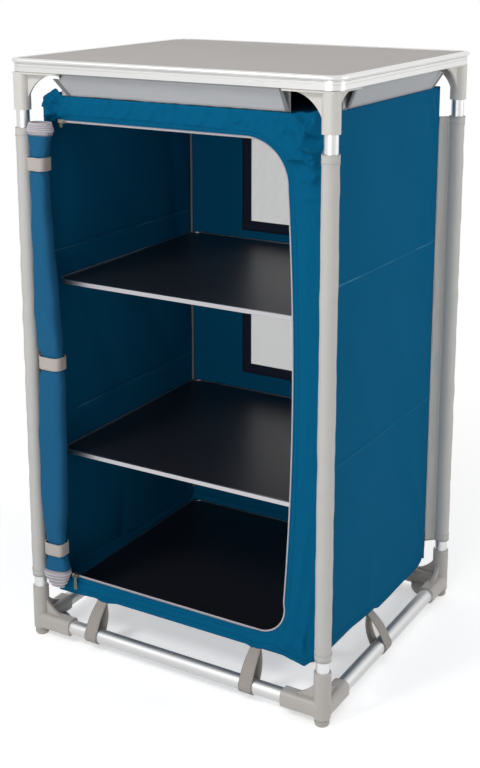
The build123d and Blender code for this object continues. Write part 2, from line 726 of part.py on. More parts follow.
save(door_roll(), "door_roll")
save(door_straps(), "door_straps")
save(zipper_track(), "zipper_track")
for name, edge, tape_side in (("top", OPEN_TOP, 1), ("bottom", OPEN_BOTTOM, -1)):
    coil_z = edge - tape_side * (TAPE - COIL / 2)
    save(slider(coil_z, tape_side), f"zipper_slider_{name}")
    length, thick, end_width = TABS[name]
    save(pull_tab(coil_z, length, thick, end_width), f"pull_tab_{name}")
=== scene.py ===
import math

import bmesh
import bpy
import numpy as np
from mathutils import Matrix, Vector, noise


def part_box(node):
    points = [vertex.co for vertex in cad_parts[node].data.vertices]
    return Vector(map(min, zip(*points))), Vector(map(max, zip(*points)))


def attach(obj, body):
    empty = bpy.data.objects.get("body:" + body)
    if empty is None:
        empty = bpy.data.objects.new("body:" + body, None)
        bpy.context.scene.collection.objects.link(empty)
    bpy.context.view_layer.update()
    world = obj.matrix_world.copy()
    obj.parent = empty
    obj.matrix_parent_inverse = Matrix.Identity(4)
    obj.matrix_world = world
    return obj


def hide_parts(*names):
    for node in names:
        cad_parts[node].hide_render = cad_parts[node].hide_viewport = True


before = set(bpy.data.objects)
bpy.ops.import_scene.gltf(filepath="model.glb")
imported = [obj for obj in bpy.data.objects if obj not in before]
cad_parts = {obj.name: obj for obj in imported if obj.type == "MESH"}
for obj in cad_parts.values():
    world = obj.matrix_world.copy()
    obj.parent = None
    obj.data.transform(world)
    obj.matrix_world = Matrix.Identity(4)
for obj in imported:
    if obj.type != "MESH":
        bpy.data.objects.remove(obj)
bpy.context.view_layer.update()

# Metres, X to the right, Y to the back, Z up, as in the frame.
MM = 0.001
BODY = "frame_and_cabinet"
CORNERS = {"fl": (-1, -1), "fr": (1, -1), "bl": (-1, 1), "br": (1, 1)}

# Sizes read from the frame
HALF_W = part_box("panel_right")[1].x
HALF_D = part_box("panel_back")[1].y
ROOF_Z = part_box("panel_roof")[1].z
FLOOR_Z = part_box("panel_floor")[0].z
LEG_LOW, LEG_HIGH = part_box("leg_lower_fr")
LEG_X = (LEG_LOW.x + LEG_HIGH.x) / 2
LEG_Y = -(LEG_LOW.y + LEG_HIGH.y) / 2
SLEEVE_LOW, SLEEVE_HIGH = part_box("sleeve_fl")
BOARD_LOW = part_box("table_board")[0].z
TUBE_LOW, TUBE_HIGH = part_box("base_tube_front")
BASE_Z = (TUBE_LOW.z + TUBE_HIGH.z) / 2
BASE_R = (TUBE_HIGH.z - TUBE_LOW.z) / 2
ROLL_LOW, ROLL_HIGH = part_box("door_roll")
ROLL_Y = (ROLL_LOW.y + ROLL_HIGH.y) / 2
NET_LOW, NET_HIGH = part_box("mesh_window_upper")
LOWER_NET_LOW, LOWER_NET_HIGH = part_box("mesh_window_lower")

# Cloth
CLOTH = 0.8 * MM
WEBBING = 1.3 * MM
HEM = 13 * MM
THREAD_R = 0.3 * MM
STITCH = 3.0 * MM
STITCH_PITCH = 4.2 * MM

# Lines along which the empty cabinet folds flat, y and z in mm, and how far and how strongly a painted
# highlight lies along them
FOLD_LINES = (((-216, 694), (216, 690)), ((-216, 399), (216, 399)))
FOLD_HIGHLIGHT_REACH = 1.9 * MM
FOLD_HIGHLIGHT_SHARE = 4.2

# Door opening: corners and the middle points of its arcs, x and z
OPEN_LEFT = -226 * MM
HINGE_X = -249 * MM
HINGE_SPAN = (124 * MM, 912 * MM)
OPEN_TOP = 924.5 * MM
OPEN_BOTTOM = 110 * MM
TOP_END = (125 * MM, OPEN_TOP)
TOP_MID = (182.5 * MM, 902 * MM)
SHOULDER = (204.5 * MM, 848 * MM)
WAIST = (215.5 * MM, 520 * MM)
HIP = (203 * MM, 176 * MM)
LOW_MID = (190.5 * MM, 127.5 * MM)
BOTTOM_END = (157 * MM, OPEN_BOTTOM)

# How much of the zipper's tape the wall's cloth covers
LAP = 3.6 * MM

# Hem of the front wall, left to right
FRONT_HEM = (
    (-255.5, 79.5), (-200, 84), (-176, 83.5), (-163, 79.5), (-150, 80), (-130, 84.5), (0, 84.5),
    (120, 85.5), (138, 83), (150, 83), (166, 88.5), (187, 87.5), (213, 81), (236, 76.6), (255.5, 96),
)


# Mesh helpers
def keep(name, mesh, material):
    """Put a finished mesh in the scene with its material."""
    piece = bpy.data.objects.new(name, mesh)
    bpy.context.scene.collection.objects.link(piece)
    if material is not None:
        mesh.materials.clear()
        mesh.materials.append(material)
    return piece


def smooth(mesh):
    mesh.polygons.foreach_set("use_smooth", [True] * len(mesh.polygons))
    mesh.update()


def sheet_mesh(name, points, flat, material, round_u=False, drop=None):
    """Quad sheet over an array of points[row][column], with flat[row][column] as its UV in metres."""
    rows, columns = points.shape[:2]
    index = np.arange(rows * columns).reshape(rows, columns)
    if round_u:
        index = np.hstack([index, index[:, :1]])
        flat = np.hstack([flat, flat[:, :1]])
    quads = np.stack([index[:-1, :-1], index[:-1, 1:], index[1:, 1:], index[1:, :-1]], -1)
    corner_uv = np.stack([flat[:-1, :-1], flat[:-1, 1:], flat[1:, 1:], flat[1:, :-1]], -2)
    quads = quads.reshape(-1, 4)
    corner_uv = corner_uv.reshape(-1, 4, 2)
    if drop is not None:
        wanted = ~drop(corner_uv.mean(1))
        quads, corner_uv = quads[wanted], corner_uv[wanted]
    mesh = bpy.data.meshes.new(name)
    mesh.from_pydata(points.reshape(-1, 3).tolist(), [], quads.tolist())
    layer = mesh.uv_layers.new(name="cut")
    layer.data.foreach_set("uv", corner_uv.astype(np.float32).ravel())
    smooth(mesh)
    return keep(name, mesh, material)


def face_towards(piece, direction):
    """Turn the whole sheet over where most of it faces away from the direction."""
    mesh = piece.data
    normals = np.zeros(len(mesh.polygons) * 3, np.float32)
    areas = np.zeros(len(mesh.polygons), np.float32)
    mesh.polygons.foreach_get("normal", normals)
    mesh.polygons.foreach_get("area", areas)
    if (normals.reshape(-1, 3) * areas[:, None]).sum(0) @ np.array(direction) < 0:
        mesh.flip_normals()


def give_thickness(piece, thickness, offset=-1.0):
    """Wall of even thickness; offset -1 puts it behind the face, 0 on both sides."""
    wall = piece.modifiers.new("thickness", "SOLIDIFY")
    wall.thickness = thickness
    wall.offset = offset
    wall.use_even_offset = False


def ride(piece, body=BODY):
    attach(piece, body)
    return piece


def hang(piece, direction, slot, *nodes, thickness=CLOTH, offset=-1.0):
    """Face a sheet its way, give it a wall and put it in the place of its solid."""
    face_towards(piece, direction)
    give_thickness(piece, thickness, offset)
    ride(piece)
    if nodes:
        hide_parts(*nodes)
    return piece


def straight(start, end, step):
    """Evenly spaced points from start up to, but not with, end."""
    start, end = np.array(start, float), np.array(end, float)
    count = max(1, round(np.linalg.norm(end - start) / step))
    share = np.arange(count)[:, None] / count
    return start + (end - start) * share


def bow(start, middle, end, step):
    """Points on the arc through three points, without its last."""
    start, middle, end = (np.array(p, float) for p in (start, middle, end))
    a, b = middle - start, end - start
    turn = 2 * (a[0] * b[1] - a[1] * b[0])
    centre = start + np.array(
        [b[1] * (a @ a) - a[1] * (b @ b), a[0] * (b @ b) - b[0] * (a @ a)]
    ) / turn
    radius = np.linalg.norm(start - centre)
    first = math.atan2(*(start - centre)[::-1])
    sweep = math.atan2(*(end - centre)[::-1]) - first
    through = (math.atan2(*(middle - centre)[::-1]) - first) % math.tau
    sweep %= math.tau
    if through > sweep:
        sweep -= math.tau
    count = max(2, round(abs(sweep) * radius / step))
    angle = first + sweep * np.arange(count) / count
    return centre + radius * np.stack([np.cos(angle), np.sin(angle)], 1)


def run_lengths(points):
    """Length of a polyline from its start to each of its points."""
    return np.concatenate([[0], np.cumsum(np.linalg.norm(np.diff(points, axis=0), axis=1))])


def unit_rows(vectors):
    return vectors / np.linalg.norm(vectors, axis=1)[:, None]


def along(points, count):
    """Points spaced evenly over the length of a polyline, both ends kept."""
    points = np.array(points, float)
    lengths = run_lengths(points)
    wanted = np.linspace(0, lengths[-1], count)
    return np.stack([np.interp(wanted, lengths, points[:, i]) for i in range(points.shape[1])], 1)


def fold(u, v, start, end, width, height):
    """Height of one soft fold from start to end on a flat wall, all in mm."""
    start, end = np.array(start) * MM, np.array(end) * MM
    run = end - start
    length = np.linalg.norm(run)
    run = run / length
    du, dv = u - start[0], v - start[1]
    far = (du * run[0] + dv * run[1]) / length
    side = (dv * run[0] - du * run[1]) / (width * MM)
    fade = np.clip(np.minimum(far + 0.25, 1.25 - far) / 0.45, 0, 1)
    fade = fade * fade * (3 - 2 * fade)
    return height * MM * fade * np.exp(-np.abs(side) ** 1.5)


def folds(u, v, rows):
    """All the folds of one wall together."""
    total = np.zeros_like(u)
    for row in rows:
        total += fold(u, v, *row)
    return total


def drift(u, v, size, height, seed):
    """Slow unevenness of stretched cloth."""
    flat_u, flat_v = u.ravel() / size, v.ravel() / size
    value = [noise.noise(Vector((a, b, seed))) for a, b in zip(flat_u, flat_v)]
    return np.array(value).reshape(u.shape) * height


def creases(u, v, spots, seed):
    """Sharp crumples of loose cloth; each spot has a middle, a reach, a height, a slant and a stretch."""
    total = np.zeros_like(u)
    for number, (at_u, at_v, reach, height, slant, stretch) in enumerate(spots):
        du, dv = u - at_u * MM, v - at_v * MM
        c, s = math.cos(math.radians(slant)), math.sin(math.radians(slant))
        run, across = (du * c + dv * s) / stretch, dv * c - du * s
        near = np.exp(-(du**2 + dv**2) / (reach * MM) ** 2)
        for size, share in ((0.024, 1.0), (0.012, 0.4)):
            ridge = np.clip(1 - 2.2 * np.abs(drift(run, across, size, 1.0, seed + number)), 0, 1)
            total += height * MM * share * near * ridge
    return total


# Shader groups
def new_group(name, inputs):
    """A shader group that puts out a colour, a roughness and a height."""
    group = bpy.data.node_groups.new(name, "ShaderNodeTree")
    for label, kind, default in inputs:
        socket = group.interface.new_socket(label, in_out="INPUT", socket_type=kind)
        socket.default_value = default
    for label, kind in (("Colour", "Color"), ("Roughness", "Float"), ("Height", "Float")):
        group.interface.new_socket(label, in_out="OUTPUT", socket_type="NodeSocket" + kind)
    start = group.nodes.new("NodeGroupInput")
    end = group.nodes.new("NodeGroupOutput")
    return group, start, end


def maths(tree, what, first, second=None, third=None):
    """A Math node; each value is a number or another node's output."""
    node = tree.nodes.new("ShaderNodeMath")
    node.operation = what
    for socket, value in zip(node.inputs, (first, second, third)):
        if value is None:
            continue
        if isinstance(value, (int, float)):
            socket.default_value = value
        else:
            tree.links.new(value, socket)
    return node.outputs[0]


def mixed(tree, share, first, second, blend="MIX"):
    """Mix of two colours by a share."""
    node = tree.nodes.new("ShaderNodeMix")
    node.data_type = "RGBA"
    node.blend_type = blend
    for socket, value in ((node.inputs[0], share), (node.inputs[6], first), (node.inputs[7], second)):
        if isinstance(value, (int, float, tuple)):
            socket.default_value = value
        else:
            tree.links.new(value, socket)
    return node.outputs[2]


def shaded(tree, colour, shade):
    """A colour made darker or lighter all over its channels."""
    tone = tree.nodes.new("ShaderNodeCombineXYZ")
    for socket in tone.inputs:
        tree.links.new(shade, socket)
    return mixed(tree, 1.0, colour, tone.outputs[0], "MULTIPLY")


def cloudy(tree, vector, scale, detail=3.0, roughness=0.5):
    node = tree.nodes.new("ShaderNodeTexNoise")
    node.inputs["Scale"].default_value = scale
    node.inputs["Detail"].default_value = detail
    node.inputs["Roughness"].default_value = roughness
    tree.links.new(vector, node.inputs["Vector"])
    return node.outputs["Fac"]


def make_weave():
    """Plain weave on the cut's own UV, with uneven dye and slight pilling."""
    group, start, end = new_group(
        "woven_cloth",
        [("Colour", "NodeSocketColor", (0.5, 0.5, 0.5, 1)), ("Threads per metre", "NodeSocketFloat", 900.0),
         ("Unevenness", "NodeSocketFloat", 0.12), ("Roughness", "NodeSocketFloat", 0.7)],
    )
    place = group.nodes.new("ShaderNodeTexCoord")
    split = group.nodes.new("ShaderNodeSeparateXYZ")
    group.links.new(place.outputs["UV"], split.inputs[0])
    rate = maths(group, "MULTIPLY", start.outputs["Threads per metre"], math.pi)
    across = maths(group, "SINE", maths(group, "MULTIPLY", split.outputs[0], rate))
    upward = maths(group, "SINE", maths(group, "MULTIPLY", split.outputs[1], rate))
    over = maths(group, "GREATER_THAN", maths(group, "MULTIPLY", across, upward), 0.0)
    warp = maths(group, "MULTIPLY", maths(group, "ABSOLUTE", across), over)
    weft = maths(group, "MULTIPLY", maths(group, "ABSOLUTE", upward), maths(group, "SUBTRACT", 1.0, over))
    thread = maths(group, "ADD", warp, weft)
    cloud = cloudy(group, place.outputs["Object"], 7.0, 4.0)
    slub = cloudy(group, place.outputs["Object"], 160.0, 2.0)
    uneven = maths(group, "ADD", maths(group, "MULTIPLY", cloud, 0.6), maths(group, "MULTIPLY", slub, 0.4))
    shift = maths(group, "MULTIPLY", maths(group, "SUBTRACT", uneven, 0.5), start.outputs["Unevenness"])
    shade = maths(group, "ADD", maths(group, "MULTIPLY_ADD", thread, 0.14, 0.91), shift)
    group.links.new(shaded(group, start.outputs["Colour"], shade), end.inputs["Colour"])
    rough = maths(group, "ADD", start.outputs["Roughness"], maths(group, "MULTIPLY", shift, 0.8))
    group.links.new(rough, end.inputs["Roughness"])
    group.links.new(thread, end.inputs["Height"])
    return group


def make_drawn_metal():
    """Fine lines left by drawing or brushing, along the axis whose stretch is small."""
    group, start, end = new_group(
        "drawn_metal",
        [("Stretch", "NodeSocketVector", (1.0, 1.0, 1.0)), ("Roughness", "NodeSocketFloat", 0.3),
         ("Spread", "NodeSocketFloat", 0.1), ("Colour", "NodeSocketColor", (0.8, 0.8, 0.8, 1))],
    )
    place = group.nodes.new("ShaderNodeTexCoord")
    stretch = group.nodes.new("ShaderNodeVectorMath")
    stretch.operation = "MULTIPLY"
    group.links.new(place.outputs["Object"], stretch.inputs[0])
    group.links.new(start.outputs["Stretch"], stretch.inputs[1])
    lines = cloudy(group, stretch.outputs[0], 900.0, 2.0)
    smear = cloudy(group, place.outputs["Object"], 14.0, 3.0)
    spread = maths(group, "MULTIPLY", maths(group, "SUBTRACT", lines, 0.5), start.outputs["Spread"])
    soft = maths(group, "MULTIPLY", maths(group, "SUBTRACT", smear, 0.5), 0.16)
    group.links.new(
        maths(group, "ADD", maths(group, "ADD", start.outputs["Roughness"], spread), soft),
        end.inputs["Roughness"],
    )
    dull = mixed(group, maths(group, "MULTIPLY", smear, 0.22), start.outputs["Colour"], (0.42, 0.42, 0.43, 1))
    group.links.new(dull, end.inputs["Colour"])
    group.links.new(lines, end.inputs["Height"])
    return group


def make_moulded():
    """Moulded plastic: fine spark-eroded grain, faint flow marks and a little dust."""
    group, start, end = new_group(
        "moulded_plastic",
        [("Colour", "NodeSocketColor", (0.5, 0.5, 0.5, 1)), ("Grain", "NodeSocketFloat", 1400.0),
         ("Roughness", "NodeSocketFloat", 0.45)],
    )
    place = group.nodes.new("ShaderNodeTexCoord")
    grain = group.nodes.new("ShaderNodeTexVoronoi")
    group.links.new(place.outputs["Object"], grain.inputs["Vector"])
    group.links.new(start.outputs["Grain"], grain.inputs["Scale"])
    flow = cloudy(group, place.outputs["Object"], 22.0, 4.0, 0.6)
    shade = mixed(group, maths(group, "MULTIPLY", flow, 0.3), start.outputs["Colour"], (0.78, 0.75, 0.7, 1),
                  "MULTIPLY")
    group.links.new(shade, end.inputs["Colour"])
    rough = maths(group, "MULTIPLY_ADD", flow, 0.18, start.outputs["Roughness"])
    group.links.new(maths(group, "SUBTRACT", rough, 0.09), end.inputs["Roughness"])
    group.links.new(grain.outputs["Distance"], end.inputs["Height"])
    return group


def make_laminate():
    """Pressed laminate: speckle, a faint cloud and hair scratches in the gloss."""
    group, start, end = new_group(
        "laminate_skin",
        [("Colour", "NodeSocketColor", (0.5, 0.5, 0.5, 1)), ("Speckle", "NodeSocketFloat", 0.2),
         ("Roughness", "NodeSocketFloat", 0.4)],
    )
    place = group.nodes.new("ShaderNodeTexCoord")
    fine = cloudy(group, place.outputs["Object"], 520.0, 2.0, 0.7)
    cloud = cloudy(group, place.outputs["Object"], 5.0, 3.0)
    streak = group.nodes.new("ShaderNodeMapping")
    streak.inputs["Rotation"].default_value = (0, 0, 0.5)
    streak.inputs["Scale"].default_value = (4, 160, 20)
    group.links.new(place.outputs["Object"], streak.inputs["Vector"])
    hair = cloudy(group, streak.outputs[0], 3.0, 2.0)
    speckle = maths(group, "MULTIPLY", maths(group, "SUBTRACT", fine, 0.5), start.outputs["Speckle"])
    uneven = maths(group, "MULTIPLY", maths(group, "SUBTRACT", cloud, 0.5), 0.12)
    shade = maths(group, "ADD", maths(group, "ADD", 1.0, speckle), uneven)
    group.links.new(shaded(group, start.outputs["Colour"], shade), end.inputs["Colour"])
    rough = maths(group, "MULTIPLY_ADD", hair, 0.14, start.outputs["Roughness"])
    group.links.new(maths(group, "SUBTRACT", rough, 0.07), end.inputs["Roughness"])
    group.links.new(fine, end.inputs["Height"])
    return group


GROUPS = {
    "cloth": make_weave(),
    "metal": make_drawn_metal(),
    "plastic": make_moulded(),
    "laminate": make_laminate(),
}


def finish(name, kind, colour, rough, bump, settings=(), shader=()):
    """A material: one shared effect group that feeds its own Principled shader.

    settings are the group's own inputs, shader the Principled's fixed sockets.
    """
    material = bpy.data.materials.new(name)
    material.use_nodes = True
    tree = material.node_tree
    principled = tree.nodes["Principled BSDF"]
    effect = tree.nodes.new("ShaderNodeGroup")
    effect.node_tree = GROUPS[kind]
    effect.inputs["Colour"].default_value = (*colour, 1)
    effect.inputs["Roughness"].default_value = rough
    for label, value in dict(settings).items():
        effect.inputs[label].default_value = value
    tree.links.new(effect.outputs["Colour"], principled.inputs["Base Color"])
    tree.links.new(effect.outputs["Roughness"], principled.inputs["Roughness"])
    relief = tree.nodes.new("ShaderNodeBump")
    relief.inputs["Strength"].default_value = 1.0
    relief.inputs["Distance"].default_value = bump
    tree.links.new(effect.outputs["Height"], relief.inputs["Height"])
    tree.links.new(relief.outputs["Normal"], principled.inputs["Normal"])
    for label, value in dict(shader).items():
        principled.inputs[label].default_value = value
    return material


def paint_fold_highlights(material, lines, pale):
    """Thin pale lines of painted highlight along the fold lines, in patches, each between two spots of the
    cut in mm.
    """
    tree = material.node_tree
    place = tree.nodes.new("ShaderNodeTexCoord")
    split = tree.nodes.new("ShaderNodeSeparateXYZ")
    tree.links.new(place.outputs["UV"], split.inputs[0])
    # Patches where the painted highlight shows along each line
    uneven = maths(tree, "POWER", cloudy(tree, place.outputs["Object"], 11.0), 4.0)
    patches = maths(tree, "MULTIPLY", uneven, FOLD_HIGHLIGHT_SHARE)
    base = tree.nodes["Principled BSDF"].inputs["Base Color"]
    for (from_u, from_v), (to_u, to_v) in lines:
        slope = (to_v - from_v) / (to_u - from_u)
        level = maths(tree, "MULTIPLY_ADD", split.outputs[0], slope, (from_v - slope * from_u) * MM)
        away = maths(tree, "ABSOLUTE", maths(tree, "SUBTRACT", split.outputs[1], level))
        near = maths(tree, "MAXIMUM", maths(tree, "MULTIPLY_ADD", away, -1 / FOLD_HIGHLIGHT_REACH, 1.0), 0.0)
        share = maths(tree, "MULTIPLY", near, patches)
        tree.links.new(mixed(tree, share, base.links[0].from_socket, (*pale, 1)), base)


def rgb(red, green, blue):
    """Scene-linear colour from the 0 to 255 values of a paint chart."""
    chart = (value / 255 for value in (red, green, blue))
    return tuple(v / 12.92 if v <= 0.04045 else ((v + 0.055) / 1.055) ** 2.4 for v in chart)


SHEEN = {"Sheen Weight": 0.05, "Sheen Roughness": 0.4, "Specular IOR Level": 0.22}
DYED = {"Sheen Weight": 0.004, "Sheen Roughness": 0.4, "Specular IOR Level": 0.02}
METAL = {"Metallic": 1.0}
body_cloth = finish("blue_polyester", "cloth", rgb(6, 89, 127), 0.7, 0.05 * MM,
                    {"Threads per metre": 1400.0, "Unevenness": 0.16}, DYED)
side_cloth = finish("side_polyester", "cloth", rgb(6, 89, 127), 0.7, 0.05 * MM,
                    {"Threads per metre": 1400.0, "Unevenness": 0.16}, DYED)
# Painted highlight: pale patchy lines along the side walls' two fold lines
paint_fold_highlights(side_cloth, FOLD_LINES, rgb(76, 138, 168))
roll_cloth = finish("door_polyester", "cloth", rgb(34, 92, 130), 0.7, 0.05 * MM,
                    {"Threads per metre": 1400.0, "Unevenness": 0.16}, DYED)
border_cloth = finish("navy_border", "cloth", rgb(26, 34, 54), 0.7, 0.08 * MM,
                      {"Threads per metre": 1000.0}, SHEEN)
flap_cloth = finish("grey_flap_cloth", "cloth", rgb(176, 178, 181), 0.66, 0.06 * MM,
                    {"Threads per metre": 1300.0, "Unevenness": 0.08}, SHEEN)
hem_cloth = finish("grey_hem_tape", "cloth", rgb(128, 127, 128), 0.75, 0.12 * MM,
                   {"Threads per metre": 700.0}, SHEEN)
sleeve_cloth = finish("sleeve_cloth", "cloth", rgb(190, 189, 186), 0.68, 0.06 * MM,
                      {"Threads per metre": 1200.0, "Unevenness": 0.1}, SHEEN)
webbing_cloth = finish("grey_webbing", "cloth", rgb(166, 160, 155), 0.8, 0.25 * MM,
                       {"Threads per metre": 560.0, "Unevenness": 0.14}, SHEEN)
strap_cloth = finish("elastic_strap", "cloth", rgb(182, 175, 170), 0.78, 0.2 * MM,
                     {"Threads per metre": 640.0, "Unevenness": 0.1}, SHEEN)
zip_tape = finish("zip_tape", "cloth", rgb(166, 161, 169), 0.75, 0.1 * MM,
                  {"Threads per metre": 1100.0, "Unevenness": 0.08}, SHEEN)
thread_blue = finish("blue_thread", "cloth", rgb(6, 76, 110), 0.7, 0.02 * MM, (), DYED)
thread_grey = finish("grey_thread", "cloth", rgb(170, 168, 166), 0.7, 0.02 * MM, (), SHEEN)
thread_navy = finish("navy_thread", "cloth", rgb(24, 32, 50), 0.7, 0.02 * MM, (), SHEEN)
net_thread = finish("net_thread", "plastic", rgb(108, 106, 104), 0.6, 0.01 * MM)
coil_nylon = finish("coil_nylon", "plastic", rgb(216, 213, 218), 0.4, 0.01 * MM)
bracket_plastic = finish("bracket_plastic", "plastic", rgb(206, 204, 199), 0.4, 0.02 * MM)
base_plastic = finish("base_plastic", "plastic", rgb(180, 176, 172), 0.42, 0.02 * MM)
foot_plastic = finish("foot_plastic", "plastic", rgb(172, 168, 164), 0.55, 0.03 * MM)
ferrule_plastic = finish("ferrule_plastic", "plastic", rgb(70, 70, 72), 0.5, 0.02 * MM)
laminate = finish("grey_laminate", "laminate", rgb(172, 167, 163), 0.5, 0.012 * MM,
                  {"Speckle": 0.22}, {"Coat Weight": 0.06, "Coat Roughness": 0.3, "Specular IOR Level": 0.3})
shelf_laminate = finish("black_laminate", "laminate", rgb(26, 25, 30), 0.42, 0.012 * MM,
                        {"Speckle": 0.5}, {"Coat Weight": 0.2, "Coat Roughness": 0.28})
rim_metal = finish("rim_aluminium", "metal", (0.78, 0.78, 0.77), 0.32, 0.004 * MM,
                   {"Stretch": (1.0, 1.0, 1.0), "Spread": 0.08}, METAL)
edging_metal = finish("edging_aluminium", "metal", (0.55, 0.54, 0.57), 0.38, 0.004 * MM,
                      {"Stretch": (1.0, 1.0, 1.0), "Spread": 0.08}, METAL)
tube_upright = finish("upright_tube", "metal", (0.72, 0.72, 0.72), 0.4, 0.002 * MM,
                      {"Stretch": (1.0, 1.0, 0.01), "Spread": 0.06}, METAL)
tube_along_x = finish("base_tube_x", "metal", (0.6, 0.6, 0.6), 0.5, 0.002 * MM,
                      {"Stretch": (0.01, 1.0, 1.0), "Spread": 0.06}, METAL)
tube_along_y = finish("base_tube_y", "metal", (0.6, 0.6, 0.6), 0.5, 0.002 * MM,
                      {"Stretch": (1.0, 0.01, 1.0), "Spread": 0.06}, METAL)
screw_steel = finish("screw_steel", "metal", (0.7, 0.7, 0.7), 0.28, 0.002 * MM,
                     {"Stretch": (1.0, 1.0, 1.0)}, METAL)
zip_metal = finish("zip_metal", "metal", (0.62, 0.56, 0.45), 0.34, 0.003 * MM,
                   {"Stretch": (1.0, 1.0, 1.0)}, METAL)
ribbon_cloth = finish("pull_ribbon", "cloth", rgb(118, 134, 124), 0.75, 0.12 * MM,
                      {"Threads per metre": 900.0}, SHEEN)


# Camera, lights and floor
# The camera was fitted to the edges of the tabletop, legs and base: its lens in mm, its shift, its
# place, and how far it looks down and to the left
LENS = 60.94
SHIFT = -0.18
CAMERA_PLACE = (1.0933, -1.8836, 1.2006)
LOOK_DOWN, LOOK_LEFT = 0.2291, 0.5314
# Share of white in the world that lights the object, and how the floor whitens with distance
WORLD_FILL = 0.44
FLOOR_LIFT = 0.45
FLOOR_FADE = (0.45, 1.5)
FLOOR_REACH = 12.0


def make_camera():
    """Camera at the photograph's viewing angle."""
    data = bpy.data.cameras.new("camera")
    data.lens = LENS
    data.shift_y = SHIFT
    data.clip_end = 60
    camera = bpy.data.objects.new("camera", data)
    bpy.context.scene.collection.objects.link(camera)
    camera.location = CAMERA_PLACE
    camera.rotation_euler = (math.pi / 2 - LOOK_DOWN, 0, LOOK_LEFT)
    bpy.context.scene.camera = camera


def area_light(name, place, target, size, power):
    data = bpy.data.lights.new(name, "AREA")
    data.shape = "RECTANGLE"
    data.size, data.size_y = size
    data.energy = power
    lamp = bpy.data.objects.new(name, data)
    bpy.context.scene.collection.objects.link(lamp)
    lamp.location = place
    lamp.rotation_euler = (Vector(target) - Vector(place)).to_track_quat("-Z", "Y").to_euler()


def seen_directly(tree):
    """1 where the camera sees the background, directly, in metal or through a gap."""
    path = tree.nodes.new("ShaderNodeLightPath")
    seen = maths(tree, "MAXIMUM", path.outputs["Is Camera Ray"], path.outputs["Is Glossy Ray"])
    return maths(tree, "MAXIMUM", seen, path.outputs["Is Transmission Ray"])


def make_world():
    world = bpy.data.worlds.new("studio")
    bpy.context.scene.world = world
    world.use_nodes = True
    tree = world.node_tree
    background = tree.nodes["Background"]
    background.inputs["Color"].default_value = (1, 1, 1, 1)
    strength = maths(tree, "MULTIPLY_ADD", seen_directly(tree), 1.0 - WORLD_FILL, WORLD_FILL)
    tree.links.new(strength, background.inputs["Strength"])


def make_floor():
    """Pale floor that keeps the shadow near the cupboard and fades to white far from it."""
    mesh = bpy.data.meshes.new("floor")
    corners = [(x * FLOOR_REACH, y * FLOOR_REACH, 0) for x, y in ((-1, -1), (1, -1), (1, 1), (-1, 1))]
    mesh.from_pydata(corners, [], [(0, 1, 2, 3)])
    material = bpy.data.materials.new("floor")
    material.use_nodes = True
    tree = material.node_tree
    principled = tree.nodes["Principled BSDF"]
    principled.inputs["Base Color"].default_value = (0.86, 0.86, 0.86, 1)
    principled.inputs["Roughness"].default_value = 0.9
    principled.inputs["Specular IOR Level"].default_value = 0.1
    principled.inputs["Emission Color"].default_value = (1, 1, 1, 1)
    lift = maths(tree, "MULTIPLY", seen_directly(tree), FLOOR_LIFT)
    tree.links.new(lift, principled.inputs["Emission Strength"])
    place = tree.nodes.new("ShaderNodeTexCoord")
    far = tree.nodes.new("ShaderNodeVectorMath")
    far.operation = "LENGTH"
    tree.links.new(place.outputs["Object"], far.inputs[0])
    fade = tree.nodes.new("ShaderNodeMapRange")
    fade.interpolation_type = "SMOOTHSTEP"
    fade.inputs["From Min"].default_value, fade.inputs["From Max"].default_value = FLOOR_FADE
    tree.links.new(far.outputs["Value"], fade.inputs["Value"])
    white = tree.nodes.new("ShaderNodeEmission")
    both = tree.nodes.new("ShaderNodeMixShader")
    tree.links.new(maths(tree, "MULTIPLY", fade.outputs["Result"], seen_directly(tree)), both.inputs[0])
    tree.links.new(principled.outputs[0], both.inputs[1])
    tree.links.new(white.outputs[0], both.inputs[2])
    tree.links.new(both.outputs[0], tree.nodes["Material Output"].inputs["Surface"])
    floor = keep("floor", mesh, material)


bpy.context.scene.view_settings.view_transform = "Standard"
make_camera()
make_world()
make_floor()
area_light("key", (-0.7, -2.0, 2.2), (0, 0, 0.6), (0.6, 0.6), 25)
area_light("front", (0.5, -2.4, 1.0), (0, 0, 0.6), (0.8, 0.8), 13)
area_light("side", (2.1, 0.8, 1.4), (0.25, 0, 0.5), (0.7, 0.7), 16)


# Rods set along a path, such as stitches and teeth
def new_tree(name, labels):
    """A node tree that takes a mesh and the named values."""
    tree = bpy.data.node_groups.new(name, "GeometryNodeTree")
    tree.interface.new_socket("Geometry", in_out="INPUT", socket_type="NodeSocketGeometry")
    for label, kind in labels:
        tree.interface.new_socket(label, in_out="INPUT", socket_type=kind)
    tree.interface.new_socket("Geometry", in_out="OUTPUT", socket_type="NodeSocketGeometry")
    return tree, tree.nodes.new("NodeGroupInput"), tree.nodes.new("NodeGroupOutput")


def finish_tree(tree, placed, start, end):
    """Make the placed shapes plain faces and give them the tree's material."""
    real = tree.nodes.new("GeometryNodeRealizeInstances")
    painted = tree.nodes.new("GeometryNodeSetMaterial")
    tree.links.new(placed.outputs[0], real.inputs[0])
    tree.links.new(real.outputs[0], painted.inputs["Geometry"])
    tree.links.new(start.outputs["Material"], painted.inputs["Material"])
    tree.links.new(painted.outputs[0], end.inputs[0])
    return tree


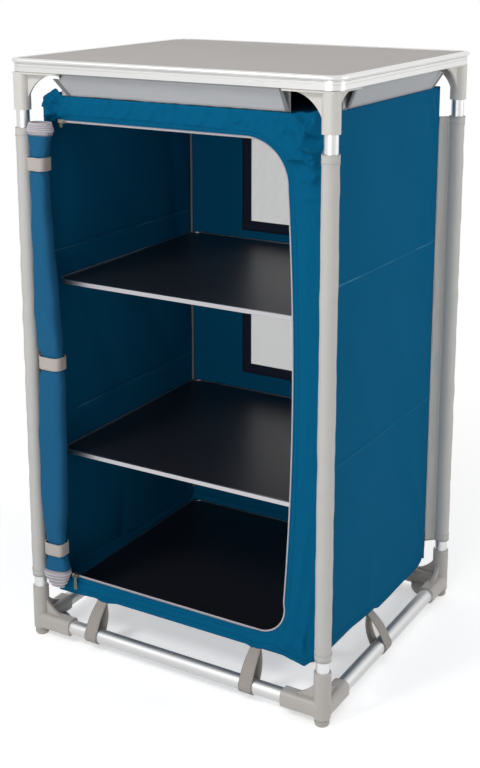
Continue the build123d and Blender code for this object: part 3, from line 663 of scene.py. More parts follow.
def make_rods_tree():
    tree, start, end = new_tree("rods_along_paths", (
        ("Spacing", "NodeSocketFloat"), ("Length", "NodeSocketFloat"), ("Radius", "NodeSocketFloat"),
        ("Turn", "NodeSocketVector"), ("Material", "NodeSocketMaterial"),
    ))
    to_curve = tree.nodes.new("GeometryNodeMeshToCurve")
    upright = tree.nodes.new("GeometryNodeSetCurveNormal")
    upright.mode = "Z_UP"
    spaced = tree.nodes.new("GeometryNodeCurveToPoints")
    spaced.mode = "LENGTH"
    rod = tree.nodes.new("GeometryNodeMeshCylinder")
    rod.inputs["Vertices"].default_value = 5
    turned = tree.nodes.new("GeometryNodeTransform")
    placed = tree.nodes.new("GeometryNodeInstanceOnPoints")
    link = tree.links.new
    link(start.outputs["Geometry"], to_curve.inputs[0])
    link(to_curve.outputs[0], upright.inputs[0])
    link(upright.outputs[0], spaced.inputs["Curve"])
    link(start.outputs["Spacing"], spaced.inputs["Length"])
    link(start.outputs["Length"], rod.inputs["Depth"])
    link(start.outputs["Radius"], rod.inputs["Radius"])
    link(rod.outputs["Mesh"], turned.inputs["Geometry"])
    link(start.outputs["Turn"], turned.inputs["Rotation"])
    link(spaced.outputs["Points"], placed.inputs["Points"])
    link(turned.outputs[0], placed.inputs["Instance"])
    link(spaced.outputs["Rotation"], placed.inputs["Rotation"])
    return finish_tree(tree, placed, start, end)


def run_tree(name, base, tree, values):
    """Run a node tree on a mesh and keep what it makes as a plain mesh."""
    source = keep(name + "_path", base, None)
    modifier = source.modifiers.new("tree", "NODES")
    modifier.node_group = tree
    for item in tree.interface.items_tree:
        if item.item_type == "SOCKET" and item.in_out == "INPUT" and item.name in values:
            modifier[item.identifier] = values[item.name]
    graph = bpy.context.evaluated_depsgraph_get()
    made = bpy.data.meshes.new_from_object(source.evaluated_get(graph))
    made.name = name
    bpy.data.objects.remove(source)
    bpy.data.meshes.remove(base)
    return keep(name, made, None)


def make_strands_tree():
    """One straight strand at each point of a mesh, all turned the same way."""
    tree, start, end = new_tree("strands_at_points", (
        ("Length", "NodeSocketFloat"), ("Radius", "NodeSocketFloat"), ("Turn", "NodeSocketVector"),
        ("Material", "NodeSocketMaterial"),
    ))
    strand = tree.nodes.new("GeometryNodeMeshCylinder")
    strand.inputs["Vertices"].default_value = 4
    placed = tree.nodes.new("GeometryNodeInstanceOnPoints")
    link = tree.links.new
    link(start.outputs["Geometry"], placed.inputs["Points"])
    link(start.outputs["Length"], strand.inputs["Depth"])
    link(start.outputs["Radius"], strand.inputs["Radius"])
    link(strand.outputs["Mesh"], placed.inputs["Instance"])
    link(start.outputs["Turn"], placed.inputs["Rotation"])
    return finish_tree(tree, placed, start, end)


RODS = make_rods_tree()
STRANDS = make_strands_tree()


def path_mesh(name, paths):
    """Edges through each list of points."""
    points, edges = [], []
    for path in paths:
        first = len(points)
        points += [tuple(p) for p in path]
        edges += [(i, i + 1) for i in range(first, len(points) - 1)]
    mesh = bpy.data.meshes.new(name)
    mesh.from_pydata(points, edges, [])
    return mesh


def stitches(name, paths, material, pitch=STITCH_PITCH, length=STITCH, body=BODY):
    """Rows of sewing thread that lie on the cloth."""
    values = {"Spacing": pitch, "Length": length, "Radius": THREAD_R, "Turn": (0.0, 0.0, 0.0),
              "Material": material}
    made = run_tree(name, path_mesh(name, paths), RODS, values)
    smooth(made.data)
    return ride(made, body)


def band_along(name, path, out, width, thickness, material):
    """Flat strip that follows path; out[i] is its face's direction, and it is width wide across that.

    width is one number, or one for each point of the path.
    """
    path, out = np.array(path, float), np.array(out, float)
    across = unit_rows(np.cross(unit_rows(np.gradient(path, axis=0)), out))
    steps = np.linspace(-0.5, 0.5, 7) * np.broadcast_to(width, len(path))[:, None]
    points = path[:, None, :] + across[:, None, :] * steps[:, :, None]
    flat = np.stack(np.broadcast_arrays(steps, run_lengths(path)[:, None]), -1)
    strip = sheet_mesh(name, points, flat, material)
    give_thickness(strip, thickness, 0.0)
    return strip


# Cabinet walls
def opening_ring(step):
    """Door opening's outline, clockwise from its bottom left, as pieces between its corners.

    The shoulder is finer, because the cloth outside it fans out to the wall's crumpled corner.
    """
    low_left, high_left = (OPEN_LEFT, OPEN_BOTTOM), (OPEN_LEFT, OPEN_TOP)
    low_hinge, high_hinge = ((HINGE_X, z) for z in HINGE_SPAN)
    return [
        np.vstack([straight(low_left, low_hinge, step), straight(low_hinge, high_hinge, step),
                   straight(high_hinge, high_left, step)]),
        straight(high_left, TOP_END, step),
        bow(TOP_END, TOP_MID, SHOULDER, step / 2.4),
        bow(SHOULDER, WAIST, HIP, step),
        bow(HIP, LOW_MID, BOTTOM_END, step),
        straight(BOTTOM_END, low_left, step),
    ]


def wall_ring():
    """The front wall's outer edge, cut at the places that face the opening's corners."""
    hem = np.array(FRONT_HEM) * MM
    right = hem[::-1]
    over_shoulder, under_shoulder, over_hip = (168 * MM, ROOF_Z), (HALF_W, 872 * MM), (HALF_W, 150 * MM)
    return [
        [(-HALF_W, hem[0, 1]), (-HALF_W, ROOF_Z)],
        [(-HALF_W, ROOF_Z), over_shoulder],
        [over_shoulder, (HALF_W, ROOF_Z), under_shoulder],
        [under_shoulder, over_hip],
        [over_hip, *right[:4]],
        list(right[3:]),
    ]


FRONT_FOLDS = (
    # start, end, width, height: the top right corner's fan
    ((250, 905), (196, 944), 4, 6.5), ((252, 888), (200, 896), 3.5, 5.0),
    ((250, 930), (214, 956), 3.5, 6.0), ((250, 868), (222, 862), 3.5, 4.2),
    ((238, 957), (228, 905), 3, 4.2), ((200, 955), (188, 925), 4, 2.4), ((170, 957), (180, 928), 4, 1.8),
    ((251, 950), (236, 962), 3, 3.5), ((226, 845), (250, 800), 4, 1.8),
    # its sharp creases
    ((204, 893), (250, 898), 2.2, 3.6), ((212, 917), (250, 905), 2.2, 3.4),
    ((198, 936), (236, 913), 2.2, 3.2), ((222, 948), (249, 927), 2.2, 3.6),
    ((234, 886), (250, 868), 2.2, 2.8), ((192, 908), (212, 882), 2.2, 2.4),
    ((240, 925), (246, 890), 2.2, 3.2), ((206, 950), (222, 930), 2.2, 2.6),
    # slanting puckers of the top band
    ((140, 957), (120, 928), 4.5, 1.9), ((100, 957), (84, 929), 4.5, 1.6), ((60, 957), (42, 928), 5, 2.0),
    ((15, 957), (0, 928), 4.5, 1.5), ((-30, 957), (-50, 928), 5, 2.2), ((-75, 957), (-96, 928), 5, 2.0),
    ((-120, 957), (-142, 928), 5, 2.4), ((-165, 954), (-186, 928), 4.5, 2.0),
    ((-200, 958), (-214, 930), 4, 2.4), ((118, 957), (108, 940), 3.5, 1.2),
    ((-8, 957), (-22, 940), 3.5, 1.2), ((-98, 957), (-112, 940), 3.5, 1.4),
    # top left corner
    ((-251, 952), (-228, 932), 3.5, 6.5), ((-248, 930), (-234, 914), 3.5, 5.0),
    ((-244, 962), (-220, 944), 3, 6.5), ((-230, 968), (-236, 942), 3, 4.6),
    ((-218, 962), (-206, 932), 3, 4.5), ((-246, 916), (-226, 937), 3, 4.0),
    # its sharp creases
    ((-249, 954), (-226, 960), 2.2, 2.6), ((-247, 942), (-222, 951), 2.2, 3.6),
    ((-245, 922), (-222, 934), 2.2, 3.0), ((-240, 936), (-243, 906), 2.2, 3.0),
    ((-232, 942), (-237, 910), 2.2, 3.0), ((-224, 942), (-230, 914), 2.2, 2.4),
    # right band and the lower right corner
    ((235, 800), (228, 640), 8, 1.3), ((238, 560), (230, 400), 9, 1.4), ((240, 330), (215, 130), 8, 2.2),
    ((246, 200), (232, 90), 6, 2.8), ((205, 112), (190, 90), 6, 2.0), ((180, 106), (172, 90), 5, 1.4),
    ((140, 106), (152, 86), 5, 1.7), ((-150, 106), (-163, 86), 5, 1.6), ((-185, 108), (-172, 86), 5, 1.3),
)
FRONT_CRUMPLES = (
    # across, up, reach, height, slant, stretch
    (-238, 938, 28, 9.0, 60, 1.4), (230, 925, 44, 13.0, 145, 2.2), (240, 860, 30, 5.0, 170, 2.0),
    (120, 945, 60, 3.4, 60, 1.5), (0, 945, 70, 3.0, 60, 1.5), (-120, 945, 70, 3.4, 60, 1.5),
    (236, 120, 44, 5.0, 110, 2.5), (-205, 96, 30, 3.2, 100, 1.5), (160, 98, 40, 2.6, 90, 1.5),
)
# How far the top edge is pushed up or sags at the front wall's corners
TOP_EDGE = (
    (-255.5, -4), (-246, 1), (-236, 6), (-225, 13), (-219, 5), (-212, 0), (208, 0), (220, 3), (232, 2),
    (244, 6), (255.5, 9),
)
# Height of the cloth below its top edge that rises and sags with the edge
TOP_SOFT = 32 * MM


def top_edge(x, z):
    """Rise of the crumpled top edge, let out over the cloth below it."""
    row = np.array(TOP_EDGE) * MM
    share = np.clip((z - ROOF_Z + TOP_SOFT) / TOP_SOFT, 0, 1)
    return np.interp(x, row[:, 0], row[:, 1]) * share**2


def front_relief(x, z):
    """How far the front wall stands out of its plane."""
    edge = np.clip(np.minimum(HALF_W - np.abs(x), ROOF_Z + 6 * MM - z) / 0.009, 0, 1)
    relief = folds(x, z, FRONT_FOLDS) + creases(x, z, FRONT_CRUMPLES, 7.0) + drift(x, z, 0.06, 1.6 * MM, 3.0)
    return relief * edge


def zip_hold(reach):
    """The zipper holds the cloth flat at its edge; reach is the distance from there."""
    return np.clip((reach - 2.5 * MM) / (9 * MM), 0, 1)


def lapped_ring(step):
    """Edge of the front wall's cloth: the opening's outline, let in over the zipper's tape."""
    pieces = opening_ring(step)
    ring = np.vstack(pieces)
    run = unit_rows(np.roll(ring, -1, 0) - np.roll(ring, 1, 0))
    inward = np.stack([run[:, 1], -run[:, 0]], 1)
    lap = LAP + 1.1 * MM * np.clip((ring[:, 0] - 0.13) / 0.02, 0, 1)
    lap *= np.clip((ring[:, 0] + 0.228) / 0.004, 0, 1)
    return np.split(ring + inward * lap[:, None], np.cumsum([len(piece) for piece in pieces])[:-1])


def make_front_wall():
    inner = lapped_ring(2.4 * MM)
    outer = [along(part, len(near) + 1)[:-1] for part, near in zip(wall_ring(), inner)]
    near, far = np.vstack(inner), np.vstack(outer)
    share = np.linspace(0, 1, 36)[:, None, None]
    flat = near[None] * (1 - share) + far[None] * share
    x, z = flat[..., 0], flat[..., 1]
    reach = np.linalg.norm(flat - near[None], axis=-1)
    out = front_relief(x, z) * zip_hold(reach) + 0.5 * MM
    points = np.stack([x, -HALF_D - out, z + top_edge(x, z)], -1)
    wall = sheet_mesh("front_wall", points, flat, body_cloth, round_u=True)
    hang(wall, (0, -1, 0), "body_cloth", "panel_front")
    return near, far


def on_front(path, out=0.5 * MM, reach=1.0):
    """Points of the front wall's plane, set on its cloth at a distance from the zipper."""
    path = np.array(path)
    x, z = path[:, 0], path[:, 1]
    return np.stack([x, -HALF_D - front_relief(x, z) * zip_hold(reach) - out, z + top_edge(x, z)], 1)


def front_seams(near, far):
    """Two rows round the opening and one along the hem."""
    towards = unit_rows(far - near)
    rows = []
    for gap in (2.2 * MM, 9.0 * MM):
        row = on_front(near + towards * gap, 0.6 * MM, gap)
        rows.append(row[near[:, 0] > -0.215])
    hem = np.array(FRONT_HEM) * MM
    rows.append(on_front(along(hem + np.array([0, HEM - 3 * MM]), 200)[4:-4], 0.6 * MM))
    stitches("front_wall_seams", rows, thread_blue)


# Hem of the side walls, front to back
SIDE_HEM = (
    (-220, 97), (-150, 93), (-60, 85), (-33, 84), (-8, 83), (10, 76), (60, 74.5), (185, 75), (205, 80),
    (216, 90), (220, 101),
)
SIDE_FOLDS = (
    # start, end, width, height: first the two lines along which the empty cabinet folds flat
    *((start, end, 3.8, 2.8) for start, end in FOLD_LINES),
    # soft waves of the stretched cloth
    ((-215, 480), (-200, 400), 9, 2.0), ((-150, 372), (-60, 300), 26, 2.4),
    ((-205, 330), (-215, 180), 16, 2.4), ((120, 330), (190, 180), 26, 3.0),
    ((40, 240), (170, 130), 30, 2.6), ((-20, 190), (-30, 92), 20, 2.4), ((190, 190), (205, 110), 12, 2.6),
    ((-120, 900), (60, 700), 46, 2.4), ((150, 890), (190, 600), 26, 2.4),
    ((-190, 760), (-205, 560), 16, 2.0), ((20, 620), (150, 420), 30, 2.6),
    ((-120, 600), (-20, 400), 28, 2.0), ((180, 950), (205, 900), 10, 2.2),
    ((-205, 950), (-180, 905), 9, 2.0),
)


def side_relief(y, z):
    """How far a side wall stands out of its plane."""
    edge = np.clip(np.minimum(HALF_D - np.abs(y), ROOF_Z - z) / 0.02, 0, 1)
    belly = 1.6 * MM * np.cos(np.clip(y / HALF_D, -1, 1) * math.pi / 2)
    return (folds(y, z, SIDE_FOLDS) + drift(y, z, 0.13, 2.0 * MM, 11.0) + belly) * edge


# Rise or sag of a side wall's top edge at its corners
RIGHT_TOP = ((-221.5, 8), (-212, 3), (-200, 0), (205, 0), (214, -3), (221.5, -5))
LEFT_TOP = ((-221.5, -4), (-212, 0), (-200, 0), (205, 0), (214, -3), (221.5, -5))


def make_side_wall(name, sign):
    hem = np.array(SIDE_HEM) * MM
    y = along([(-HALF_D,), (HALF_D,)], 90)[:, 0]
    low = np.interp(y, hem[:, 0], hem[:, 1])
    share = np.linspace(0, 1, 280)[:, None]
    z = low[None] * (1 - share) + ROOF_Z * share
    y = np.broadcast_to(y, z.shape)
    edge = np.array(RIGHT_TOP if sign > 0 else LEFT_TOP) * MM
    rise = np.interp(y, edge[:, 0], edge[:, 1]) * np.clip((z - ROOF_Z) / TOP_SOFT + 1, 0, 1) ** 2
    out = side_relief(y, z) + 0.5 * MM * (z - low[None] < HEM)
    points = np.stack([sign * (HALF_W + out), y, z + rise], -1)
    wall = sheet_mesh(name, points, np.stack([y, z], -1), side_cloth)
    hang(wall, (sign, 0, 0), "body_cloth", "panel_right" if sign > 0 else "panel_left")


def side_seams():
    """One row along each side wall's hem."""
    hem = np.array(SIDE_HEM) * MM
    rows = []
    for sign in (-1, 1):
        y = np.linspace(-HALF_D + 4 * MM, HALF_D - 4 * MM, 120)
        z = np.interp(y, hem[:, 0], hem[:, 1]) + HEM - 2.5 * MM
        x = sign * (HALF_W + side_relief(y, z) + 0.5 * MM)
        rows.append(np.stack([x, y, z], 1))
    stitches("side_wall_seams", rows, thread_blue)


def back_relief(x, z):
    """How far the back wall stands out of its plane; the nets hold it flat."""
    near_net = np.maximum(np.abs(x) - 0.118, 0)
    edge = np.clip(np.minimum(HALF_W - np.abs(x), ROOF_Z - z) / 0.02, 0, 1)
    return drift(x, z, 0.1, 1.8 * MM, 23.0) * edge * np.clip(near_net / 0.04, 0, 1)


def grid_with_stops(stops_x, stops_z, step):
    """Grid over X and Z whose lines pass through every stop."""
    return np.meshgrid(*(
        np.concatenate([*(straight((a,), (b,), step)[:, 0] for a, b in zip(stops, stops[1:])), stops[-1:]])
        for stops in (stops_x, stops_z)
    ))


def in_window(spots, low, high):
    return (np.abs(spots[:, 0] - (low.x + high.x) / 2) < (high.x - low.x) / 2) & (
        np.abs(spots[:, 1] - (low.z + high.z) / 2) < (high.z - low.z) / 2
    )


def make_back_wall():
    nets = [(NET_LOW, NET_HIGH), (LOWER_NET_LOW, LOWER_NET_HIGH)]
    x, z = grid_with_stops(
        (-HALF_W, NET_LOW.x, NET_HIGH.x, HALF_W),
        (FLOOR_Z, LOWER_NET_LOW.z, LOWER_NET_HIGH.z, NET_LOW.z, NET_HIGH.z, ROOF_Z), 6 * MM,
    )

    def in_net(spots):
        return in_window(spots, *nets[0]) | in_window(spots, *nets[1])

    points = np.stack([x, HALF_D + back_relief(x, z), z], -1)
    wall = sheet_mesh("back_wall", points, np.stack([x, z], -1), body_cloth, drop=in_net)
    hang(wall, (0, 1, 0), "body_cloth", "panel_back")


def make_level_wall(name, z, node, sag, seed, direction):
    """Roof or floor cloth, which sags a little."""
    x = np.linspace(-HALF_W + 1.5 * MM, HALF_W - 1.5 * MM, 72)
    y = np.linspace(-HALF_D + 1.5 * MM, HALF_D - 1.5 * MM, 62)
    x, y = np.meshgrid(x, y)
    edge = np.cos(x / HALF_W * math.pi / 2) * np.cos(y / HALF_D * math.pi / 2)
    height = z - sag * edge + drift(x, y, 0.09, 2 * MM, seed) * np.clip(edge * 4, 0, 1)
    wall = sheet_mesh(name, np.stack([x, y, height], -1), np.stack([x, y], -1), body_cloth)
    hang(wall, direction, "body_cloth", node)


# Side of the cabinet: the way it runs and the way it faces, in X and Y, and its distance from the middle
FACES = {
    "front": ((1, 0), (0, -1), HALF_D),
    "right": ((0, 1), (1, 0), HALF_W),
    "back": ((-1, 0), (0, 1), HALF_D),
    "left": ((0, -1), (-1, 0), HALF_W),
}


def on_face(side, u, out, z):
    """Points at u along a side of the cabinet, out from its wall, at height z."""
    run, away, half = FACES[side]
    u, out, z = np.broadcast_arrays(u, out, z)
    far = half + out
    return np.stack([run[0] * u + away[0] * far, run[1] * u + away[1] * far, z], -1)


def make_floor_tub():
    """Floor cloth drawn up round the floor board to the walls' hems, and turned up inside them."""
    turn_up = 20 * MM
    inner_x, inner_y = HALF_W - 1.6 * MM, HALF_D - 1.6 * MM
    zone = 30 * MM
    grid = []
    for inner, count in ((inner_x, 56), (inner_y, 48)):
        past = np.linspace(inner, inner + turn_up, 6)[1:]
        end = np.concatenate([np.linspace(inner - zone, inner, 21), past])
        grid.append(np.concatenate([-end[::-1], np.linspace(-inner + zone, inner - zone, count)[1:-1], end]))
    cut_x, cut_y = np.meshgrid(*grid)
    over = np.maximum(np.maximum(np.abs(cut_x) - inner_x, np.abs(cut_y) - inner_y), 0)
    x, y = np.clip(cut_x, -inner_x, inner_x), np.clip(cut_y, -inner_y, inner_y)
    front_hem, side_hem = np.array(FRONT_HEM) * MM, np.array(SIDE_HEM) * MM
    base = FLOOR_Z + 0.8 * MM
    front = np.interp(x, front_hem[:, 0], front_hem[:, 1]) + 1.5 * MM - base
    side = np.maximum(np.interp(y, side_hem[:, 0], side_hem[:, 1]) + 1.5 * MM - base, 0)
    low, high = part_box("shelf_floor_edging")
    corner = 22 * MM
    past_x, past_y = np.abs(x) - high.x + corner, low.y + corner - y
    outside = np.hypot(np.maximum(past_x, 0), np.maximum(past_y, 0)) - corner
    lift = np.maximum(front * (past_y > 0), side * (past_x > 0))
    z = base + lift * np.clip(outside / (2.5 * MM), 0, 1) + over
    flat_part = np.clip((inner_x - np.abs(x)) / 0.05, 0, 1) * np.clip((inner_y - np.abs(y)) / 0.05, 0, 1)
    z += drift(x, y, 0.09, 1.2 * MM, 37.0) * flat_part
    tub = sheet_mesh("floor_cloth", np.stack([x, y, z], -1), np.stack([cut_x, cut_y], -1), body_cloth)
    hang(tub, (0, 0, -1), "body_cloth", "panel_floor")


# Flaps that hang the cabinet under the tabletop
FLAPS = {"front": (-216, 202), "right": (-162, 184), "back": (-202, 216), "left": (-184, 162)}
FLAP_TOP = BOARD_LOW - 1.4 * MM
FLAP_LEAN = LEG_Y - HALF_D - 2 * MM
PLATE_ENDS = {"front": 0.2005, "right": 0.1655, "back": 0.2005, "left": 0.1655}
PLATE_ROOM = 9 * MM


def flap_points(side, u, share, seed):
    """share runs up the upright leaf to the fold and out along the leaning one, from 0 to 2."""
    left, right = (end * MM for end in FLAPS[side])
    under_plate = np.clip((np.abs(u) - PLATE_ENDS[side]) / (3 * MM) + 1, 0, 1)
    top = FLAP_TOP - PLATE_ROOM * under_plate
    up = np.abs(share - 1)
    z = ROOF_Z + (top - ROOF_Z) * up
    leaning = np.clip(share - 1, 0, 1)
    slack = drift(u, share * 0.04, 0.06, 1.6 * MM, seed) * np.sin(np.pi * np.clip(leaning, 0.12, 0.9))
    out = 0.6 * MM + FLAP_LEAN * leaning + slack * (leaning > 0)
    shift = (1 - up) * 13 * MM * (1 - (u - left) / (right - left)) * (leaning > 0)
    return on_face(side, u + shift, out, z)


def make_flap(side, seed):
    left, right = (end * MM for end in FLAPS[side])
    u = np.linspace(left, right, 120)
    share = np.linspace(0, 2, 25)
    u, share = np.meshgrid(u, share)
    points = flap_points(side, u, share, seed)
    deep = FLAP_TOP - ROOF_Z
    flap = sheet_mesh(side + "_flap", points, np.stack([u, share * deep], -1), flap_cloth)
    away = FACES[side][1]
    hang(flap, (*away, -0.2), "flap_cloth", "top_flap_" + side, offset=0.0)
    for name, end, sign in (("start", left, 1), ("end", right, -1)):
        span = np.linspace(end, end + sign * 8 * MM, 4)
        cut_u, cut_v = np.meshgrid(span, np.linspace(1.05, 1.99, 14))
        spots = flap_points(side, cut_u, cut_v, seed)
        spots[..., :2] += np.array(away) * 0.9 * MM
        strip = sheet_mesh(f"{side}_flap_{name}_hem", spots, np.stack([cut_u, cut_v * deep], -1), hem_cloth)
        hang(strip, (*away, 0), "flap_cloth", offset=0.0)
    rows = [flap_points(side, np.linspace(left + 10 * MM, right - 10 * MM, 100), np.full(100, at), seed)
            for at in (1.1, 1.93)]
    for row in rows:
        row[:, :2] += np.array(away) * 0.6 * MM
    seams = stitches(side + "_flap_seams", rows, thread_grey)


# Sleeves round the legs
SLEEVE_HOLD = 13.3 * MM
# Columns of the cloth: the strip from the cabinet's corner, the round of the leg and the strip back
SLEEVE_STRIP, SLEEVE_ROUND = 9, 36
SLEEVE_COLUMNS = SLEEVE_ROUND + 2 * SLEEVE_STRIP
SEAM_COLUMN = SLEEVE_STRIP - 2


def sleeve_section(corner, z, seed):
    """Keyhole path from the cabinet's corner round the leg and back, at each height."""
    sx, sy = CORNERS[corner]
    axis = np.array([sx * LEG_X, sy * LEG_Y])
    inward = np.array([sx * HALF_W, sy * HALF_D]) - axis
    reach = np.linalg.norm(inward) - 0.4 * MM
    inward = inward / np.linalg.norm(inward)
    across = np.array([-inward[1], inward[0]])
    gap = 0.75 * MM
    start = math.asin(gap / SLEEVE_HOLD)
    turn = np.linspace(start, math.tau - start, SLEEVE_ROUND)
    strip = np.linspace(reach, SLEEVE_HOLD + 1.2 * MM, SLEEVE_STRIP)
    loose = drift(*np.meshgrid(turn * 0.01, z), 0.03, 1.3 * MM, seed) * np.sin(turn / 2)[None]
    hem = 0.5 * MM * ((z < z.min() + HEM) | (z > z.max() - HEM))
    radius = SLEEVE_HOLD + loose + hem[:, None]
    ring = radius[..., None] * (np.cos(turn)[None, :, None] * inward + np.sin(turn)[None, :, None] * across)
    wave = drift(*np.meshgrid(strip, z), 0.05, 1.6 * MM, seed + 5)
    wave *= np.sin(np.pi * np.clip((strip - SLEEVE_HOLD) / (reach - SLEEVE_HOLD), 0, 1))[None]
    out = strip[None, :, None] * inward + (wave + gap + hem[:, None])[..., None] * across
    back = strip[None, ::-1, None] * inward + (wave[:, ::-1] - gap - hem[:, None])[..., None] * across
    section = np.concatenate([out, ring, back], 1) + axis
    return np.concatenate([section, np.broadcast_to(z[:, None, None], (*section.shape[:2], 1))], -1)


def make_sleeve(corner, seed):
    z = np.linspace(SLEEVE_LOW.z, SLEEVE_HIGH.z, 130)
    points = sleeve_section(corner, z, seed)
    cut = run_lengths(points[60])
    flat = np.stack(np.broadcast_arrays(cut[None, :], z[:, None]), -1)
    sleeve = sheet_mesh("sleeve_cloth_" + corner, points, flat, sleeve_cloth)
    sx, sy = CORNERS[corner]
    facet = sleeve.data.polygons[60 * (SLEEVE_COLUMNS - 1) + SLEEVE_COLUMNS // 2]
    away = Vector((facet.center.x - sx * LEG_X, facet.center.y - sy * LEG_Y, 0))
    if facet.normal.dot(away) < 0:
        sleeve.data.flip_normals()
    give_thickness(sleeve, 0.7 * MM)
    ride(sleeve)
    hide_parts("sleeve_" + corner)
    rows = []
    facing_column = SLEEVE_COLUMNS - 2 - SEAM_COLUMN
    for column, other in ((SEAM_COLUMN, facing_column), (facing_column, SEAM_COLUMN)):
        row = points[2:-2, column]
        rows.append(row + unit_rows(row - points[2:-2, other]) * 0.2 * MM)
    for level in (2, -3):
        ring = points[level, SLEEVE_STRIP:-SLEEVE_STRIP]
        middle = ring.mean(0)
        rows.append(middle + (ring - middle) * 1.03)
    seams = stitches(f"sleeve_seams_{corner}", rows, thread_grey)


# Webbing loops round the base tubes
LOOP_WIDTH = 24 * MM
LOOP_TOP = 88 * MM
FRONT_LOOPS = (-163 * MM, 146 * MM)
SIDE_LOOP = -21 * MM


def loop_path(side, u):
    """From the hem round the base tube and back up to the hem."""
    away = (LEG_Y if side in ("front", "back") else LEG_X) - FACES[side][2]
    grip = BASE_R + 0.7 * MM + WEBBING / 2
    hem = {"front": FRONT_HEM, "back": ((0, 77),)}.get(side, SIDE_HEM)
    hem = np.array(hem) * MM
    at = -u if side == "left" else u
    inset = -1.5 * MM if side in ("front", "back") else -0.3 * MM
    seam = np.array([inset, np.interp(at, hem[:, 0], hem[:, 1]) - 0.6 * MM])
    centre = np.array([away, BASE_Z])
    rise = seam - centre
    slope = math.atan2(rise[1], rise[0])
    part = math.acos(grip / np.linalg.norm(rise))
    first, last = slope - part, slope + part - math.tau
    angle = np.linspace(first, last, 30)
    round_tube = centre + grip * np.stack([np.cos(angle), np.sin(angle)], 1)
    layer, sewn = np.array([0.7 * MM, 0]), np.array([0, 6 * MM])
    outside = straight(seam + layer, round_tube[0], 3 * MM)
    inside = straight(round_tube[-1], seam - layer, 3 * MM)
    for leg, way in ((outside, 1), (inside, -1)):
        swell = np.sin(np.linspace(0, math.pi, len(leg)))
        leg[:, 0] += way * 4.5 * MM * swell
    up_front = straight(seam + layer + sewn, seam + layer, 3 * MM)
    up_back = np.vstack([straight(seam - layer, seam - layer + sewn, 3 * MM), seam - layer + sewn])
    path = np.vstack([up_front, outside, round_tube, inside, up_back])
    run = unit_rows(np.gradient(path, axis=0))
    facing = np.stack([-run[:, 1], run[:, 0]], 1)
    if facing[0, 0] < 0:
        facing = -facing
    spots = on_face(side, u, path[:, 0], path[:, 1])
    tips = on_face(side, u, path[:, 0] + facing[:, 0], path[:, 1] + facing[:, 1])
    return spots, tips - spots


def make_loops():
    """Loops that hold the cabinet's hem down to the base tubes."""
    places = [("front", u) for u in FRONT_LOOPS] + [("back", u) for u in FRONT_LOOPS]
    places += [("right", SIDE_LOOP), ("left", -SIDE_LOOP)]
    for number, (side, u) in enumerate(places):
        path, out = loop_path(side, u)
        drop = np.clip((LOOP_TOP - path[:, 2]) / (LOOP_TOP - BASE_Z - BASE_R), 0, 1)
        width = LOOP_WIDTH * (0.76 + 0.24 * drop * (2 - drop))
        loop = band_along(f"base_loop_{number}", path, out, width, WEBBING, webbing_cloth)
        ride(loop)
        if number == 0:
            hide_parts("base_loops")
        run = np.array([*FACES[side][0], 0])
        rows = [[path[at] + out[at] * 0.9 * MM + run * s * 7.5 * MM for s in (-1, 1)] for at in (4, 5)]
        sewn = stitches(f"base_loop_stitches_{number}", rows, thread_grey, 2.6 * MM, 2 * MM)


# Net windows of the back
NET_PITCH = 2.0 * MM
NET_R = 0.37 * MM
NET_BORDER = 20 * MM


def make_window(name, low, high, node):
    y = HALF_D - 1.25 * MM
    x_mid, z_mid = (low.x + high.x) / 2, (low.z + high.z) / 2
    wide, tall = high.x - low.x, high.z - low.z
    parts = []
    for spots, length, turn in (
        ([(x, y, z_mid) for x in np.arange(low.x, high.x, NET_PITCH)], tall, (0.0, 0.0, 0.0)),
        ([(x_mid, y - NET_R, z) for z in np.arange(low.z, high.z, NET_PITCH)], wide, (0.0, math.pi / 2, 0.0)),
    ):
        base = bpy.data.meshes.new(name)
        base.from_pydata(spots, [], [])
        parts.append(run_tree(name, base, STRANDS, {"Length": length, "Radius": NET_R, "Turn": turn,
                                                    "Material": net_thread}))
    net = joined(name, parts)
    ride(net)
    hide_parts(node)

    x, z = grid_with_stops((low.x - NET_BORDER, low.x, high.x, high.x + NET_BORDER),
                           (low.z - NET_BORDER, low.z, high.z, high.z + NET_BORDER), 5 * MM)
    inner = HALF_D - 1.7 * MM + drift(x, z, 0.04, 0.6 * MM, 41.0)
    border = sheet_mesh(name + "_border", np.stack([x, inner, z], -1), np.stack([x, z], -1), border_cloth,
                        drop=lambda spots: in_window(spots, low, high))
    hang(border, (0, -1, 0), "border_cloth")
    if node == "mesh_window_upper":
        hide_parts("window_borders")
    rows = []
    for gap in (2.5 * MM, NET_BORDER - 2.5 * MM):
        ends = ((low.x - gap, low.z - gap), (high.x + gap, low.z - gap), (high.x + gap, high.z + gap),
                (low.x - gap, high.z + gap), (low.x - gap, low.z - gap))
        rows.append([(a, HALF_D - 2.1 * MM, b) for a, b in along(ends, 240)])
    seams = stitches(name + "_border_seams", rows, thread_navy)
    width, length = wide + 2 * NET_BORDER, tall + 2 * NET_BORDER


def joined(name, pieces):
    """One object from several plain ones."""
    both = bmesh.new()
    for piece in pieces:
        both.from_mesh(piece.data)
    mesh = bpy.data.meshes.new(name)
    both.to_mesh(mesh)
    both.free()
    material = pieces[0].data.materials[0]
    for piece in pieces:
        bpy.data.objects.remove(piece)
    return keep(name, mesh, material)


# Zipper round the door opening
TAPE = 7.5 * MM
COIL = 2.6 * MM
COIL_R = 0.45 * MM
COIL_PITCH = 1.35 * MM


def zip_line(step):
    """The zipper's line from its top left end round to its bottom left end, and the way in from it."""
    line = np.vstack([*opening_ring(step)[1:], [(OPEN_LEFT, OPEN_BOTTOM)]])
    run = unit_rows(np.gradient(line, axis=0))
    return line, np.stack([run[:, 1], -run[:, 0]], 1)


